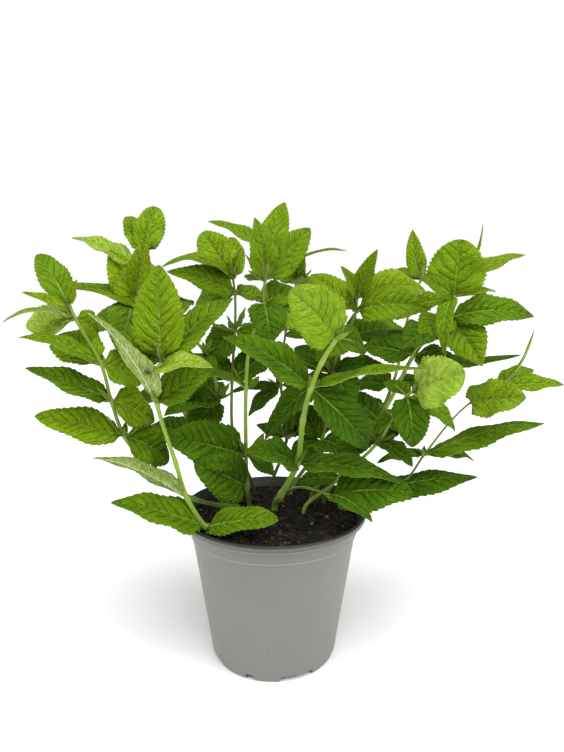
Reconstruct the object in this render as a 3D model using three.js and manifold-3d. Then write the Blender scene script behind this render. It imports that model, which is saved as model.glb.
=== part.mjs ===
import * as THREE from "three";
import { mergeVertices } from "three/addons/utils/BufferGeometryUtils.js";
import Module from "manifold-3d";

// A mint plant in a thin thermoformed nursery pot. Millimetres, +Z up, the origin
// on the table under the middle of the pot, -Y towards the viewer.

const wasm = await Module();
wasm.setup();

// ---------------------------------------------------------------- dimensions
const GAP = 0.3; // clearance kept between touching pieces

const POT = {
  height: 98,
  rimRadius: 60,
  lipRadius: 57.6, // where the lip turns down inside
  collarTop: 91.5,
  collarTopRadius: 54.9,
  stepHeight: 84,
  stepRadius: 53.9,
  stepDepth: 0.8,
  stepRise: 0.8,
  lipRise: 1.2, // the lip flares out above the collar
  rimRise: 2.6, // and stands upright from here
  rimBevel: 1,
  rimWall: 1.6,
  lipDrop: 2.4, // where the inner wall starts to flare, below the top
  mouthDrop: 0.8,
  mouthFlare: 0.4,
  heelHeight: 3,
  heelRadius: 41.1,
  footRadius: 39.8,
  wall: 0.9,
  innerRise: 0.3, // how much higher the inner wall bends than the outer one
  floor: 1,
  sides: 32,
};

// Drain pockets round the foot: wide and narrow ones take turns.
const POCKET = {
  count: 4,
  wideAt: -68, // degrees round from +X
  narrowAt: -110.5,
  wideSpan: 31,
  narrowSpan: 8,
  innerRadius: 32,
  height: 4,
  skin: 1,
  holeRadius: 3,
  holeAt: 36.5,
};

const SOIL = {
  edge: 91, // height of the soil at the wall
  crown: 95.5, // and in the middle
  bump: 1.1,
  // Two crossed waves and a slanting one: how fast each rises and falls per mm.
  waves: { x: 0.21, y: 0.17, slantX: 0.09, slantY: 0.13, slantShare: 0.7 },
  shift: { x: 1.3, y: -0.6 },
  rings: 3,
  sides: 24,
};

const STEM = {
  rootDepth: 12,
  collar: 4, // it stands upright this far above the soil
  holeClearance: 0.9,
  holeSides: 7,
  tipTaper: 0.55, // share of the width lost by the tip
  stepLength: 21, // a ring at each joint, and between them one about every so many mm
};

const LEAF = {
  thickness: 0.65,
  widest: 0.72, // power of the length that sets where the blade is widest
  fullWidest: 0.12, // and how much a full leaf adds to it
  taper: 0.85, // power of the curve of the edge: lower is rounder
  fullTaper: 0.35,
  longLeaf: 45, // mm, from which a leaf has more teeth
  longTeeth: 3,
  shortTeeth: 2,
  petioleWidth: 2,
  bladeStart: 0.09, // share of the length taken by the leaf's stalk
  lastTooth: 0.94,
  toothLean: 0.72, // how far a tooth's point leans towards the leaf's tip
  ribSteps: 3,
  fold: 14, // degrees that each half stands up from flat
  toothDepth: 0.13, // share of the half width
};

// The viewpoint that the places below are read from: a picture 564 wide and 752
// high, focal length in its pixels, distances from the pot's axis in mm.
const VIEW = {
  focal: 600,
  middle: [282, 376],
  distance: 372,
  height: 247,
  aside: 5.5,
  pitch: THREE.MathUtils.degToRad(9.6),
};

// ---------------------------------------------------------------- the plant
// Each stem stands at foot [x, y] in the soil and runs through its joints. A joint
// is seen at picture point "at", "near" mm in front of the pot's axis. A leaf's tip
// is given in the same way, and its blade is "wide" mm. "turn" is how many degrees
// its upper face is turned up from facing the viewer.
// "arch" bows the midrib towards the upper face and "bend" sideways, as a share of
// the leaf's length. "fold" is how many degrees each half stands up from flat, and
// "full" how nearly oval the blade is, from 0 to 1.
const STEMS = {
  stem_front_left: {
    foot: [-40, -26],
    thick: 3.4,
    joints: [
      { at: [206, 527], near: 27, leaves: [
        { tip: [112, 500], near: 52, wide: 26, turn: 40, arch: 0.04, full: 0.2 },
        { tip: [278, 519], near: 44, wide: 22, turn: 40, arch: 0.05, full: 0.9 },
      ] },
      { at: [187, 498], near: 31, leaves: [
        { tip: [93, 454], near: 56, wide: 19, turn: 118, arch: 0.06 },
      ] },
      { at: [176, 464], near: 38 },
      { at: [157, 404], near: 50, leaves: [
        { tip: [90, 311], near: 86, wide: 22, turn: 118, arch: 0.06 },
        { tip: [214, 366], near: 42, wide: 24, turn: 38, arch: 0.07 },
      ] },
      { at: [154, 374], near: 55, leaves: [
        { tip: [212, 365], near: 82, wide: 17, turn: 58, arch: 0.1 },
      ] },
      { at: [161, 362], near: 53, leaves: [
        { tip: [158, 264], near: 44, wide: 30, turn: 8, arch: 0.05, full: 0.3 },
        { tip: [233, 296], near: 24, wide: 24, turn: 40, arch: 0.06 },
      ] },
    ],
  },
  stem_left: {
    foot: [-23, -2],
    thick: 3,
    joints: [
      { at: [224, 506], near: 5 },
      { at: [194, 499], near: 9 },
      { at: [160, 480], near: 16 },
      { at: [142, 459], near: 20 },
      { at: [124, 436], near: 24, leaves: [
        { tip: [35, 415], near: 44, wide: 26, turn: 38, arch: 0.01, full: 0.4 },
        { tip: [171, 462], near: 4, wide: 30, turn: 36, arch: 0.1 },
      ] },
      { at: [111, 400], near: 26, leaves: [
        { tip: [26, 366], near: 44, wide: 21, turn: 46, arch: 0.02 },
        { tip: [156, 421], near: 4, wide: 28, turn: 34, arch: 0.06 },
      ] },
      { at: [101, 364], near: 27, leaves: [
        { tip: [18, 334], near: 42, wide: 15, turn: 50, arch: 0.09 },
        { tip: [52, 338], near: 6, wide: 28, turn: 30, arch: 0.1, full: 0.4 },
        { tip: [145, 380], near: 2, wide: 27, turn: 34, arch: 0.08 },
      ] },
      { at: [75, 318], near: 28, leaves: [
        { tip: [24, 322], near: 4, wide: 23, turn: 28, arch: 0.02, full: 0.5 },
        { tip: [1, 321], near: 38, wide: 13, turn: 88, arch: 0.14 },
        { tip: [99, 336], near: 2, wide: 18, turn: 40, arch: 0.1 },
      ] },
      { at: [69, 304], near: 27, leaves: [
        { tip: [38, 252], near: 12, wide: 19, turn: 12, arch: 0.04, full: 0.7 },
        { tip: [23, 291], near: 46, wide: 10, turn: 62, arch: -0.04 },
        { tip: [76, 280], near: 36, wide: 7, turn: 30, arch: 0.03 },
      ] },
    ],
  },
  stem_back_left: {
    foot: [-27, 18],
    thick: 3,
    joints: [
      { at: [218, 437], near: -19 },
      { at: [218, 398], near: -18, leaves: [
        { tip: [164, 414], near: 18, wide: 24, turn: 48, arch: 0.08 },
        { tip: [188, 440], near: -4, wide: 26, turn: 20, arch: 0.1 },
        { tip: [196, 380], near: -46, wide: 22, turn: 45, arch: 0.06 },
      ] },
      { at: [205, 352], near: -14, leaves: [
        { tip: [186, 400], near: 6, wide: 28, turn: 24, arch: 0.1 },
      ] },
      { at: [160, 316], near: -8, leaves: [
        { tip: [88, 330], near: -34, wide: 27, turn: 40, arch: 0.12 },
        { tip: [192, 300], near: -46, wide: 24, turn: 50, arch: 0.08 },
        { tip: [56, 284], near: 12, wide: 15, turn: 56, arch: 0.09 },
      ] },
      { at: [136, 297], near: -4, leaves: [
        { tip: [120, 353], near: 26, wide: 27, turn: 20, arch: 0.06, full: 0.4 },
        { tip: [146, 234], near: 18, wide: 16, turn: 16, arch: 0.03 },
        { tip: [109, 250], near: 4, wide: 24, turn: 10, arch: 0.06 },
      ] },
      { at: [136, 266], near: -3, leaves: [
        { tip: [72, 235], near: 0, wide: 19, turn: 55, arch: 0.06 },
      ] },
      { at: [143, 252], near: -6, leaves: [
        { tip: [128, 215], near: -18, wide: 16, turn: 20, arch: 0.04, full: 1 },
        { tip: [157, 206], near: -14, wide: 20, turn: 8, arch: 0.04, full: 1 },
      ] },
    ],
  },
  stem_back_mid: {
    foot: [-14, 30],
    thick: 2.8,
    joints: [
      { at: [234, 440], near: -34 },
      { at: [232, 380], near: -40, leaves: [
        { tip: [188, 356], near: -62, wide: 26, turn: 36, arch: 0.06 },
        { tip: [274, 352], near: -62, wide: 27, turn: 38, arch: 0.06 },
      ] },
      { at: [235, 330], near: -44, leaves: [
        { tip: [208, 362], near: -58, wide: 28, turn: 30, arch: 0.08 },
        { tip: [264, 354], near: -66, wide: 24, turn: 34, arch: 0.08 },
      ] },
      { at: [235, 294], near: -46, leaves: [
        { tip: [167, 270], near: -28, wide: 22, turn: 38, arch: 0.09 },
        { tip: [194, 302], near: -76, wide: 28, turn: 34, arch: 0.05 },
        { tip: [272, 302], near: -78, wide: 20, turn: 60, arch: 0.08 },
      ] },
      { at: [233, 279], near: -46, leaves: [
        { tip: [202, 231], near: -56, wide: 27, turn: 6, arch: 0.05, full: 0.9 },
        { tip: [232, 236], near: -66, wide: 18, turn: 12, arch: 0.05, full: 0.9 },
        { tip: [160, 265], near: -32, wide: 15, turn: 64, arch: 0.2 },
        { tip: [241, 247], near: -34, wide: 9, turn: 66, arch: 0.05 },
      ] },
    ],
  },
  stem_centre: {
    foot: [-16, 4],
    thick: 3.2,
    joints: [
      { at: [247, 486], near: 4, leaves: [
        { tip: [195, 464], near: 34, wide: 32, turn: 10, arch: 0.06, full: 0.7 },
      ] },
      { at: [246, 455], near: 6, leaves: [
        { tip: [163, 436], near: 30, wide: 34, turn: 22, arch: 0.04, full: 0.3 },
        { tip: [276, 476], near: -22, wide: 20, turn: 50, arch: 0.08 },
      ] },
      { at: [246, 388], near: 8, leaves: [
        { tip: [197, 377], near: 20, wide: 14, turn: 70, arch: 0.14 },
      ] },
      { at: [250, 345], near: 6 },
      { at: [264, 303], near: 2, leaves: [
        { tip: [300, 292], near: -22, wide: 24, turn: 42, arch: 0.1 },
        { tip: [270, 343], near: 26, wide: 25, turn: 15, arch: 0.08, full: 0.4 },
        { tip: [333, 344], near: -14, wide: 26, turn: 40, arch: 0.08 },
      ] },
      { at: [265, 280], near: 0, leaves: [
        { tip: [256, 217], near: 12, wide: 20, turn: 20, arch: 0.06 },
        { tip: [311, 227], near: -6, wide: 24, turn: 15, arch: 0.06, full: 0.3 },
        { tip: [247, 275], near: -30, wide: 15, turn: 50, arch: 0.06 },
      ] },
      { at: [269, 250], near: -4, leaves: [
        { tip: [285, 201], near: -12, wide: 18, turn: 12, arch: 0.05 },
        { tip: [208, 219], near: -16, wide: 15, turn: 58, arch: 0.05 },
      ] },
    ],
  },
  stem_front_mid: {
    foot: [1, -3],
    thick: 4.6,
    joints: [
      { at: [281, 495], near: 10 },
      { at: [297, 464], near: 18, leaves: [
        { tip: [246, 451], near: 40, wide: 25, turn: 45, arch: 0.1 },
        { tip: [401, 480], near: 34, wide: 25, turn: 55, arch: 0.06 },
      ] },
      { at: [303, 420], near: 30 },
      { at: [311, 388], near: 42, leaves: [
        { tip: [224, 334], near: 52, wide: 25, turn: 42, arch: 0.08 },
        { tip: [426, 366], near: 52, wide: 18, turn: 72, arch: 0.04 },
        { tip: [370, 449], near: 30, wide: 25, turn: 22, arch: 0.1, full: 0.4 },
      ] },
      { at: [322, 362], near: 52 },
      { at: [337, 338], near: 58, leaves: [
        { tip: [292, 290], near: 78, wide: 31, turn: 14, arch: 0.05, full: 1 },
        { tip: [366, 348], near: 28, wide: 19, turn: 40, arch: 0.06 },
      ] },
    ],
  },
  stem_right_front: {
    foot: [20, -6],
    thick: 3.4,
    joints: [
      { at: [340, 478], near: 4, leaves: [
        { tip: [296, 482], near: -14, wide: 20, turn: 50, arch: 0.06 },
      ] },
      { at: [379, 441], near: 14, leaves: [
        { tip: [414, 466], near: 26, wide: 17, turn: 50, arch: 0.08 },
        { tip: [342, 420], near: -10, wide: 20, turn: 50, arch: 0.08 },
      ] },
      { at: [394, 414], near: 24, leaves: [
        { tip: [372, 434], near: 10, wide: 14, turn: 50, arch: 0.06 },
      ] },
      { at: [407, 396], near: 34, leaves: [
        { tip: [413, 448], near: 48, wide: 23, turn: 10, arch: 0.16, full: 0.5 },
        { tip: [458, 431], near: 30, wide: 16, turn: 50, arch: 0.1 },
        { tip: [384, 380], near: 12, wide: 15, turn: 50, arch: 0.06 },
      ] },
      { at: [414, 391], near: 38, leaves: [
        { tip: [464, 372], near: 60, wide: 31, turn: 20, arch: 0.04, full: 1 },
      ] },
    ],
  },
  stem_right_low: {
    foot: [28, 6],
    thick: 2.8,
    joints: [
      { at: [372, 492], near: 0, leaves: [
        { tip: [478, 475], near: 16, wide: 25, turn: 40, arch: 0.05, fold: -24 },
      ] },
      { at: [405, 480], near: 4 },
      { at: [424, 455], near: 8, leaves: [
        { tip: [545, 420], near: 22, wide: 21, turn: 48, arch: 0.06, fold: -24 },
        { tip: [376, 462], near: 2, wide: 17, turn: 62, arch: 0.08 },
        { tip: [477, 459], near: -18, wide: 14, turn: 60, arch: 0.06 },
      ] },
      { at: [450, 422], near: 10 },
      { at: [470, 403], near: 12, leaves: [
        { tip: [525, 397], near: 40, wide: 27, turn: 32, arch: 0.04, full: 0.6 },
        { tip: [503, 384], near: -22, wide: 18, turn: 60, arch: 0.08 },
      ] },
      { at: [500, 386], near: 10, leaves: [
        { tip: [532, 329], near: 4, wide: 7, turn: 80, arch: -0.1 },
        { tip: [564, 383], near: 24, wide: 17, turn: 50, arch: 0.02 },
        { tip: [534, 367], near: -18, wide: 16, turn: 40, arch: 0.05 },
      ] },
    ],
  },
  stem_low_right: {
    foot: [6, 16],
    thick: 2.4,
    joints: [
      { at: [292, 489], near: -6 },
      { at: [308, 488], near: 10 },
      { at: [330, 495], near: 24, leaves: [
        { tip: [414, 492], near: 34, wide: 33, turn: 30, arch: 0.08, full: 0.5 },
        { tip: [373, 521], near: 56, wide: 16, turn: 40, arch: 0.12 },
      ] },
    ],
  },
  stem_right_back: {
    foot: [26, 22],
    thick: 3.2,
    joints: [
      { at: [378, 420], near: -18, leaves: [
        { tip: [342, 394], near: -44, wide: 27, turn: 45, arch: 0.08 },
        { tip: [351, 457], near: 4, wide: 28, turn: 24, arch: 0.08 },
        { tip: [424, 432], near: -40, wide: 20, turn: 48, arch: 0.08 },
      ] },
      { at: [414, 355], near: -10, leaves: [
        { tip: [462, 372], near: 6, wide: 24, turn: 45, arch: 0.08 },
        { tip: [521, 353], near: -12, wide: 16, turn: 60, arch: -0.06, fold: -10 },
        { tip: [388, 330], near: -44, wide: 22, turn: 50, arch: 0.08 },
        { tip: [361, 345], near: -26, wide: 24, turn: 34, arch: 0.06 },
      ] },
      { at: [433, 331], near: -4, leaves: [
        { tip: [404, 347], near: 16, wide: 26, turn: 40, arch: 0.1 },
      ] },
      { at: [449, 318], near: 0, leaves: [
        { tip: [536, 315], near: 14, wide: 24, turn: 38, arch: 0.12 },
        { tip: [483, 366], near: 22, wide: 29, turn: 18, arch: 0.08 },
        { tip: [419, 341], near: 10, wide: 26, turn: 40, arch: 0.1 },
      ] },
      { at: [454, 297], near: 0, leaves: [
        { tip: [444, 358], near: 30, wide: 12, turn: 20, arch: 0.2 },
        { tip: [496, 290], near: -20, wide: 18, turn: 66, arch: 0.05 },
        { tip: [421, 278], near: 14, wide: 15, turn: 40, arch: 0.06 },
        { tip: [461, 239], near: 4, wide: 37, turn: 6, arch: 0.03, full: 0.9 },
      ] },
      { at: [456, 284], near: -6, leaves: [
        { tip: [436, 258], near: -24, wide: 16, turn: 40, arch: 0.05 },
        { tip: [526, 252], near: -18, wide: 15, turn: 52, arch: 0.05 },
        { tip: [480, 224], near: -36, wide: 7, turn: 80, arch: -0.1 },
      ] },
    ],
  },
  stem_back_right: {
    foot: [12, 30],
    thick: 3,
    joints: [
      { at: [322, 440], near: -38, leaves: [
        { tip: [352, 457], near: -6, wide: 28, turn: 30, arch: 0.1 },
        { tip: [288, 462], near: -30, wide: 22, turn: 34, arch: 0.06 },
        { tip: [299, 402], near: -58, wide: 27, turn: 26, arch: 0.06 },
      ] },
      { at: [332, 372], near: -42, leaves: [
        { tip: [352, 412], near: -14, wide: 28, turn: 24, arch: 0.1 },
        { tip: [388, 366], near: -30, wide: 24, turn: 56, arch: 0.06 },
        { tip: [294, 346], near: -70, wide: 27, turn: 34, arch: 0.06 },
        { tip: [262, 440], near: -34, wide: 24, turn: 36, arch: 0.1 },
      ] },
      { at: [346, 338], near: -40, leaves: [
        { tip: [398, 330], near: -66, wide: 26, turn: 45, arch: 0.08 },
        { tip: [284, 334], near: -24, wide: 26, turn: 44, arch: 0.08 },
        { tip: [316, 360], near: -12, wide: 26, turn: 28, arch: 0.1 },
      ] },
      { at: [356, 311], near: -36, leaves: [
        { tip: [432, 309], near: -24, wide: 30, turn: 30, arch: 0.16 },
        { tip: [310, 274], near: -58, wide: 25, turn: 36, arch: 0.06 },
      ] },
      { at: [357, 298], near: -36, leaves: [
        { tip: [427, 290], near: -50, wide: 29, turn: 34, arch: 0.16 },
        { tip: [377, 249], near: -24, wide: 14, turn: 20, arch: 0.05 },
        { tip: [342, 266], near: -22, wide: 12, turn: 45, arch: 0.05 },
      ] },
    ],
  },
  stem_back: {
    foot: [-2, 38],
    thick: 2.8,
    joints: [
      { at: [287, 437], near: -48, leaves: [
        { tip: [256, 424], near: -60, wide: 14, turn: 40, arch: 0.04 },
        { tip: [314, 404], near: -66, wide: 22, turn: 30, arch: 0.04 },
      ] },
      { at: [281, 385], near: -60, leaves: [
        { tip: [322, 398], near: -96, wide: 22, turn: 50, arch: 0.08 },
        { tip: [223, 394], near: -84, wide: 12, turn: 62, arch: 0.04 },
        { tip: [247, 416], near: -66, wide: 17, turn: 46, arch: 0.06 },
      ] },
      { at: [286, 330], near: -74, leaves: [
        { tip: [340, 322], near: -66, wide: 20, turn: 52, arch: 0.08 },
        { tip: [256, 332], near: -112, wide: 22, turn: 48, arch: 0.06 },
      ] },
      { at: [296, 284], near: -80, leaves: [
        { tip: [302, 256], near: -64, wide: 15, turn: 16, arch: 0.04 },
        { tip: [262, 268], near: -108, wide: 18, turn: 50, arch: 0.06 },
        { tip: [330, 290], near: -112, wide: 18, turn: 50, arch: 0.06 },
      ] },
      { at: [293, 262], near: -84, leaves: [
        { tip: [347, 249], near: -66, wide: 8, turn: 84, arch: 0.08 },
        { tip: [300, 240], near: -104, wide: 13, turn: 40, arch: 0.04 },
      ] },
    ],
  },
  stem_far_left: {
    foot: [-34, 4],
    thick: 3,
    joints: [
      { at: [196, 440], near: -18, leaves: [
        { tip: [150, 424], near: -30, wide: 28, turn: 34, arch: 0.06 },
      ] },
      { at: [176, 392], near: -40, leaves: [
        { tip: [132, 402], near: -66, wide: 28, turn: 50, arch: 0.08 },
      ] },
      { at: [164, 350], near: -58, leaves: [
        { tip: [108, 372], near: -40, wide: 27, turn: 34, arch: 0.06 },
        { tip: [116, 330], near: -48, wide: 27, turn: 50, arch: 0.08 },
        { tip: [196, 356], near: -98, wide: 22, turn: 50, arch: 0.08 },
      ] },
      { at: [158, 316], near: -68, leaves: [
        { tip: [118, 286], near: -92, wide: 22, turn: 45, arch: 0.06 },
        { tip: [190, 306], near: -92, wide: 20, turn: 50, arch: 0.06 },
      ] },
      { at: [152, 290], near: -74, leaves: [
        { tip: [146, 258], near: -92, wide: 16, turn: 20, arch: 0.04 },
        { tip: [124, 270], near: -62, wide: 14, turn: 50, arch: 0.04 },
      ] },
    ],
  },
  stem_far_right: {
    foot: [34, 14],
    thick: 3,
    joints: [
      { at: [366, 440], near: -30, leaves: [
        { tip: [414, 416], near: -60, wide: 26, turn: 36, arch: 0.06 },
        { tip: [332, 420], near: -66, wide: 27, turn: 40, arch: 0.06 },
      ] },
      { at: [392, 386], near: -54, leaves: [
        { tip: [352, 384], near: -84, wide: 26, turn: 50, arch: 0.08 },
        { tip: [436, 384], near: -40, wide: 20, turn: 55, arch: 0.08 },
      ] },
      { at: [404, 340], near: -72, leaves: [
        { tip: [452, 336], near: -86, wide: 22, turn: 50, arch: 0.08 },
        { tip: [366, 322], near: -96, wide: 22, turn: 50, arch: 0.06 },
      ] },
      { at: [410, 306], near: -80, leaves: [
        { tip: [456, 300], near: -66, wide: 20, turn: 50, arch: 0.06 },
        { tip: [384, 292], near: -110, wide: 20, turn: 45, arch: 0.06 },
      ] },
      { at: [421, 280], near: -82, leaves: [
        { tip: [413, 229], near: -84, wide: 16, turn: 14, arch: 0.04, bend: 0.05 },
        { tip: [394, 268], near: -106, wide: 15, turn: 50, arch: 0.04 },
      ] },
    ],
  },
};

const COLOUR = { pot: 0x9b9a94, soil: 0x2a1e17, mint: 0x5f8f1e };
const ROUGHNESS = { pot: 0.5, soil: 0.95, mint: 0.6 };

// ---------------------------------------------------------------- helpers
const radians = THREE.MathUtils.degToRad;

// The point seen at a picture point, "near" mm in front of the pot's axis.
function seen([px, py], near) {
  const across = (px - VIEW.middle[0]) / VIEW.focal;
  const above = (VIEW.middle[1] - py) / VIEW.focal;
  const [cos, sin] = [Math.cos(VIEW.pitch), Math.sin(VIEW.pitch)];
  const reach = (VIEW.distance - near) / (cos + above * sin);
  return new THREE.Vector3(
    VIEW.aside + reach * across,
    -near,
    VIEW.height + reach * (above * cos - sin),
  );
}

const viewer = new THREE.Vector3(VIEW.aside, -VIEW.distance, VIEW.height);

// A closed geometry as a solid that can be joined and cut.
function solidOf(geometry) {
  const bare = geometry.index ? geometry.toNonIndexed() : geometry.clone();
  bare.deleteAttribute("normal");
  bare.deleteAttribute("uv");
  const merged = mergeVertices(bare, 1e-3);
  return new wasm.Manifold(
    new wasm.Mesh({
      numProp: 3,
      vertProperties: merged.attributes.position.array,
      triVerts: new Uint32Array(merged.index.array),
    }),
  );
}

function geometryOf(solid) {
  const mesh = solid.getMesh();
  return new THREE.BufferGeometry()
    .setAttribute("position", new THREE.BufferAttribute(mesh.vertProperties, 3))
    .setIndex(new THREE.BufferAttribute(mesh.triVerts, 1));
}

function meshOf(name, solid, colour, roughness) {
  const material = new THREE.MeshStandardMaterial({ color: colour, roughness, metalness: 0 });
  const mesh = new THREE.Mesh(geometryOf(solid), material);
  mesh.name = name;
  return mesh;
}

function latheOf(points, sides) {
  const profile = points.map(([radius, height]) => new THREE.Vector2(radius, height));
  const geometry = new THREE.LatheGeometry(profile, sides);
  geometry.rotateX(Math.PI / 2); // the lathe turns about Y, the pot about Z
  return solidOf(geometry);
}

// A wedge of a ring with straight sides: radii, heights, its middle and span in degrees.
function wedge(inner, outer, low, high, middle, span) {
  const corners = [
    [inner, -1],
    [outer, -1],
    [outer, 1],
    [inner, 1],
  ].map(([radius, hand]) => {
    const angle = radians(middle + (hand * span) / 2);
    return new THREE.Vector2(radius * Math.cos(angle), radius * Math.sin(angle));
  });
  const geometry = new THREE.ExtrudeGeometry(new THREE.Shape(corners), {
    depth: high - low,
    bevelEnabled: false,
  });
  geometry.translate(0, 0, low);
  return solidOf(geometry);
}

function post(radius, low, high, [x, y]) {
  const geometry = new THREE.CylinderGeometry(radius, radius, high - low, STEM.holeSides);
  geometry.rotateX(Math.PI / 2);
  geometry.translate(x, y, (low + high) / 2);
  return solidOf(geometry);
}

// ---------------------------------------------------------------- pot
// The outer wall from the heel up to the collar's top, radius and height.
const wallPoints = [
  [POT.heelRadius, POT.heelHeight],
  [POT.stepRadius - POT.stepDepth, POT.stepHeight - POT.stepRise],
  [POT.stepRadius, POT.stepHeight],
  [POT.collarTopRadius, POT.collarTop],
];

// The wall's inside, a clearance away from it.
const innerWall = (clearance) =>
  wallPoints.map(([radius, height]) => [radius - POT.wall - clearance, height + POT.innerRise]);

function pocketList() {
  const list = [];
  for (let turn = 0; turn < POCKET.count; turn += 1) {
    list.push({ at: POCKET.wideAt + turn * 90, span: POCKET.wideSpan });
    list.push({ at: POCKET.narrowAt + turn * 90, span: POCKET.narrowSpan });
  }
  return list;
}

// The raised floor over the pockets, grown by a clearance.
function pocketRoofs(clearance) {
  const reach = POCKET.innerRadius - POCKET.skin - clearance;
  return pocketList().map(({ at, span }) =>
    wedge(
      reach,
      POT.rimRadius,
      0,
      POCKET.height + POCKET.skin + clearance,
      at,
      span + (2 * (POCKET.skin + clearance) * 180) / (Math.PI * POCKET.innerRadius),
    ),
  );
}

function makePot() {
  const outer = latheOf(
    [
      [0, 0],
      [POT.footRadius, 0],
      ...wallPoints,
      [POT.lipRadius, POT.collarTop + POT.lipRise],
      [POT.rimRadius, POT.collarTop + POT.rimRise],
      [POT.rimRadius, POT.height - POT.rimBevel],
      [POT.rimRadius - POT.rimBevel, POT.height],
      [0, POT.height],
    ],
    POT.sides,
  );
  const cavity = latheOf(
    [
      [0, POT.floor],
      [POT.footRadius - POT.wall, POT.floor],
      ...innerWall(0),
      [POT.lipRadius - POT.wall, POT.height - POT.lipDrop],
      [POT.lipRadius + POT.mouthFlare, POT.height - POT.mouthDrop],
      [POT.rimRadius - POT.rimWall, POT.height + 1],
      [0, POT.height + 1],
    ],
    POT.sides,
  );
  let pot = outer.subtract(cavity.subtract(wasm.Manifold.union(pocketRoofs(0))));
  for (const { at, span } of pocketList()) {
    pot = pot.subtract(wedge(POCKET.innerRadius, POT.rimRadius, -1, POCKET.height, at, span));
    if (span === POCKET.wideSpan) {
      const place = [POCKET.holeAt * Math.cos(radians(at)), POCKET.holeAt * Math.sin(radians(at))];
      pot = pot.subtract(post(POCKET.holeRadius, -1, POT.height / 2, place));
    }
  }
  return pot;
}

// ---------------------------------------------------------------- soil
// Height of the soil's surface: a low crown with uneven lumps on it.
function soilTop(x, y) {
  const share = Math.min(1, Math.hypot(x, y) / (POT.collarTopRadius - 1));
  const { waves, shift } = SOIL;
  const lumps =
    Math.sin(x * waves.x + shift.x) * Math.cos(y * waves.y + shift.y) +
    waves.slantShare * Math.sin(x * waves.slantX - y * waves.slantY);
  return SOIL.crown + (SOIL.edge - SOIL.crown) * share ** 2 + SOIL.bump * lumps;
}

function makeSoil(stemFeet) {
  let soil = latheOf(
    [
      [0, POT.floor + GAP],
      [POT.footRadius - POT.wall - GAP, POT.floor + GAP],
      ...innerWall(GAP),
      [0, POT.collarTop + POT.innerRise],
    ],
    SOIL.sides,
  ).subtract(wasm.Manifold.union(pocketRoofs(GAP)));
  soil = soil.intersect(spaceBelow());
  const holes = stemFeet.map(({ foot, radius, bottom }) =>
    post(radius + STEM.holeClearance, bottom - GAP, 2 * POT.height, foot),
  );
  return soil.subtract(wasm.Manifold.union(holes));
}

// The space below the soil's surface, wider than the pot.
function spaceBelow() {
  const points = [];
  const faces = [];
  const { rings, sides } = SOIL;
  const wide = POT.rimRadius;
  const put = (x, y, z) => points.push(x, y, z) / 3 - 1;
  const top = put(0, 0, soilTop(0, 0));
  const base = put(0, 0, -1);
  const ringsTop = [];
  for (let ring = 1; ring <= rings; ring += 1) {
    const row = [];
    for (let side = 0; side < sides; side += 1) {
      const angle = ((side + (ring % 2) / 2) * 2 * Math.PI) / sides;
      const [x, y] = [(wide * ring * Math.cos(angle)) / rings, (wide * ring * Math.sin(angle)) / rings];
      row.push(put(x, y, soilTop(x, y)));
    }
    ringsTop.push(row);
  }
  const edge = ringsTop[rings - 1].map((index) => put(points[index * 3], points[index * 3 + 1], -1));
  for (let side = 0; side < sides; side += 1) {
    const next = (side + 1) % sides;
    faces.push(top, ringsTop[0][side], ringsTop[0][next]);
    for (let ring = 0; ring < rings - 1; ring += 1) {
      const [a, b] = [ringsTop[ring], ringsTop[ring + 1]];
      if ((ring + 1) % 2) {
        faces.push(a[side], b[side], b[next], a[side], b[next], a[next]);
      } else {
        faces.push(a[side], b[side], a[next], a[next], b[side], b[next]);
      }
    }
    const last = ringsTop[rings - 1];
    faces.push(last[side], edge[side], edge[next], last[side], edge[next], last[next]);
    faces.push(base, edge[next], edge[side]);
  }
  const geometry = new THREE.BufferGeometry()
    .setAttribute("position", new THREE.Float32BufferAttribute(points, 3))
    .setIndex(faces);
  return solidOf(geometry);
}

// ---------------------------------------------------------------- stems
// The points that a stem runs through, from its root up.
function routeOf({ foot: [x, y], joints }) {
  const ground = soilTop(x, y);
  return [
    new THREE.Vector3(x, y, ground - STEM.rootDepth),
    new THREE.Vector3(x, y, ground - STEM.rootDepth / 2),
    new THREE.Vector3(x, y, ground + STEM.collar),
    ...joints.map(({ at, near }) => seen(at, near)),
  ];
}

// A square stem that thins towards its tip, with a ring of corners at each joint.
function stemSolid(route, thick) {
  const curve = new THREE.CatmullRomCurve3(route, false, "centripetal");
  const spans = route.length - 1;
  const rings = [0];
  for (let span = 0; span < spans; span += 1) {
    const steps = Math.max(1, Math.round(route[span].distanceTo(route[span + 1]) / STEM.stepLength));
    for (let step = 1; step <= steps; step += 1) rings.push((span + step / steps) / spans);
  }
  const points = [];
  const faces = [];
  rings.forEach((share) => {
    const tangent = curve.getTangent(share);
    const normal = new THREE.Vector3(0, 1, 0).projectOnPlane(tangent).normalize();
    const side = tangent.clone().cross(normal);
    const half = (thick / 2) * (1 - STEM.tipTaper * share);
    const place = curve.getPoint(share);
    for (const [across, along] of [[1, 1], [-1, 1], [-1, -1], [1, -1]]) {
      const out = place.clone().addScaledVector(normal, across * half).addScaledVector(side, along * half);
      points.push(out.x, out.y, out.z);
    }
  });
  const end = (rings.length - 1) * 4;
  for (let ring = 0; ring < end; ring += 4) {
    for (let corner = 0; corner < 4; corner += 1) {
      const [a, b] = [ring + corner, ring + ((corner + 1) % 4)];
      faces.push(a, b, b + 4, a, b + 4, a + 4);
    }
  }
  faces.push(0, 2, 1, 0, 3, 2, end, end + 1, end + 2, end, end + 2, end + 3);
  const geometry = new THREE.BufferGeometry()
    .setAttribute("position", new THREE.Float32BufferAttribute(points, 3))
    .setIndex(faces);
  return solidOf(geometry);
}

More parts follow.
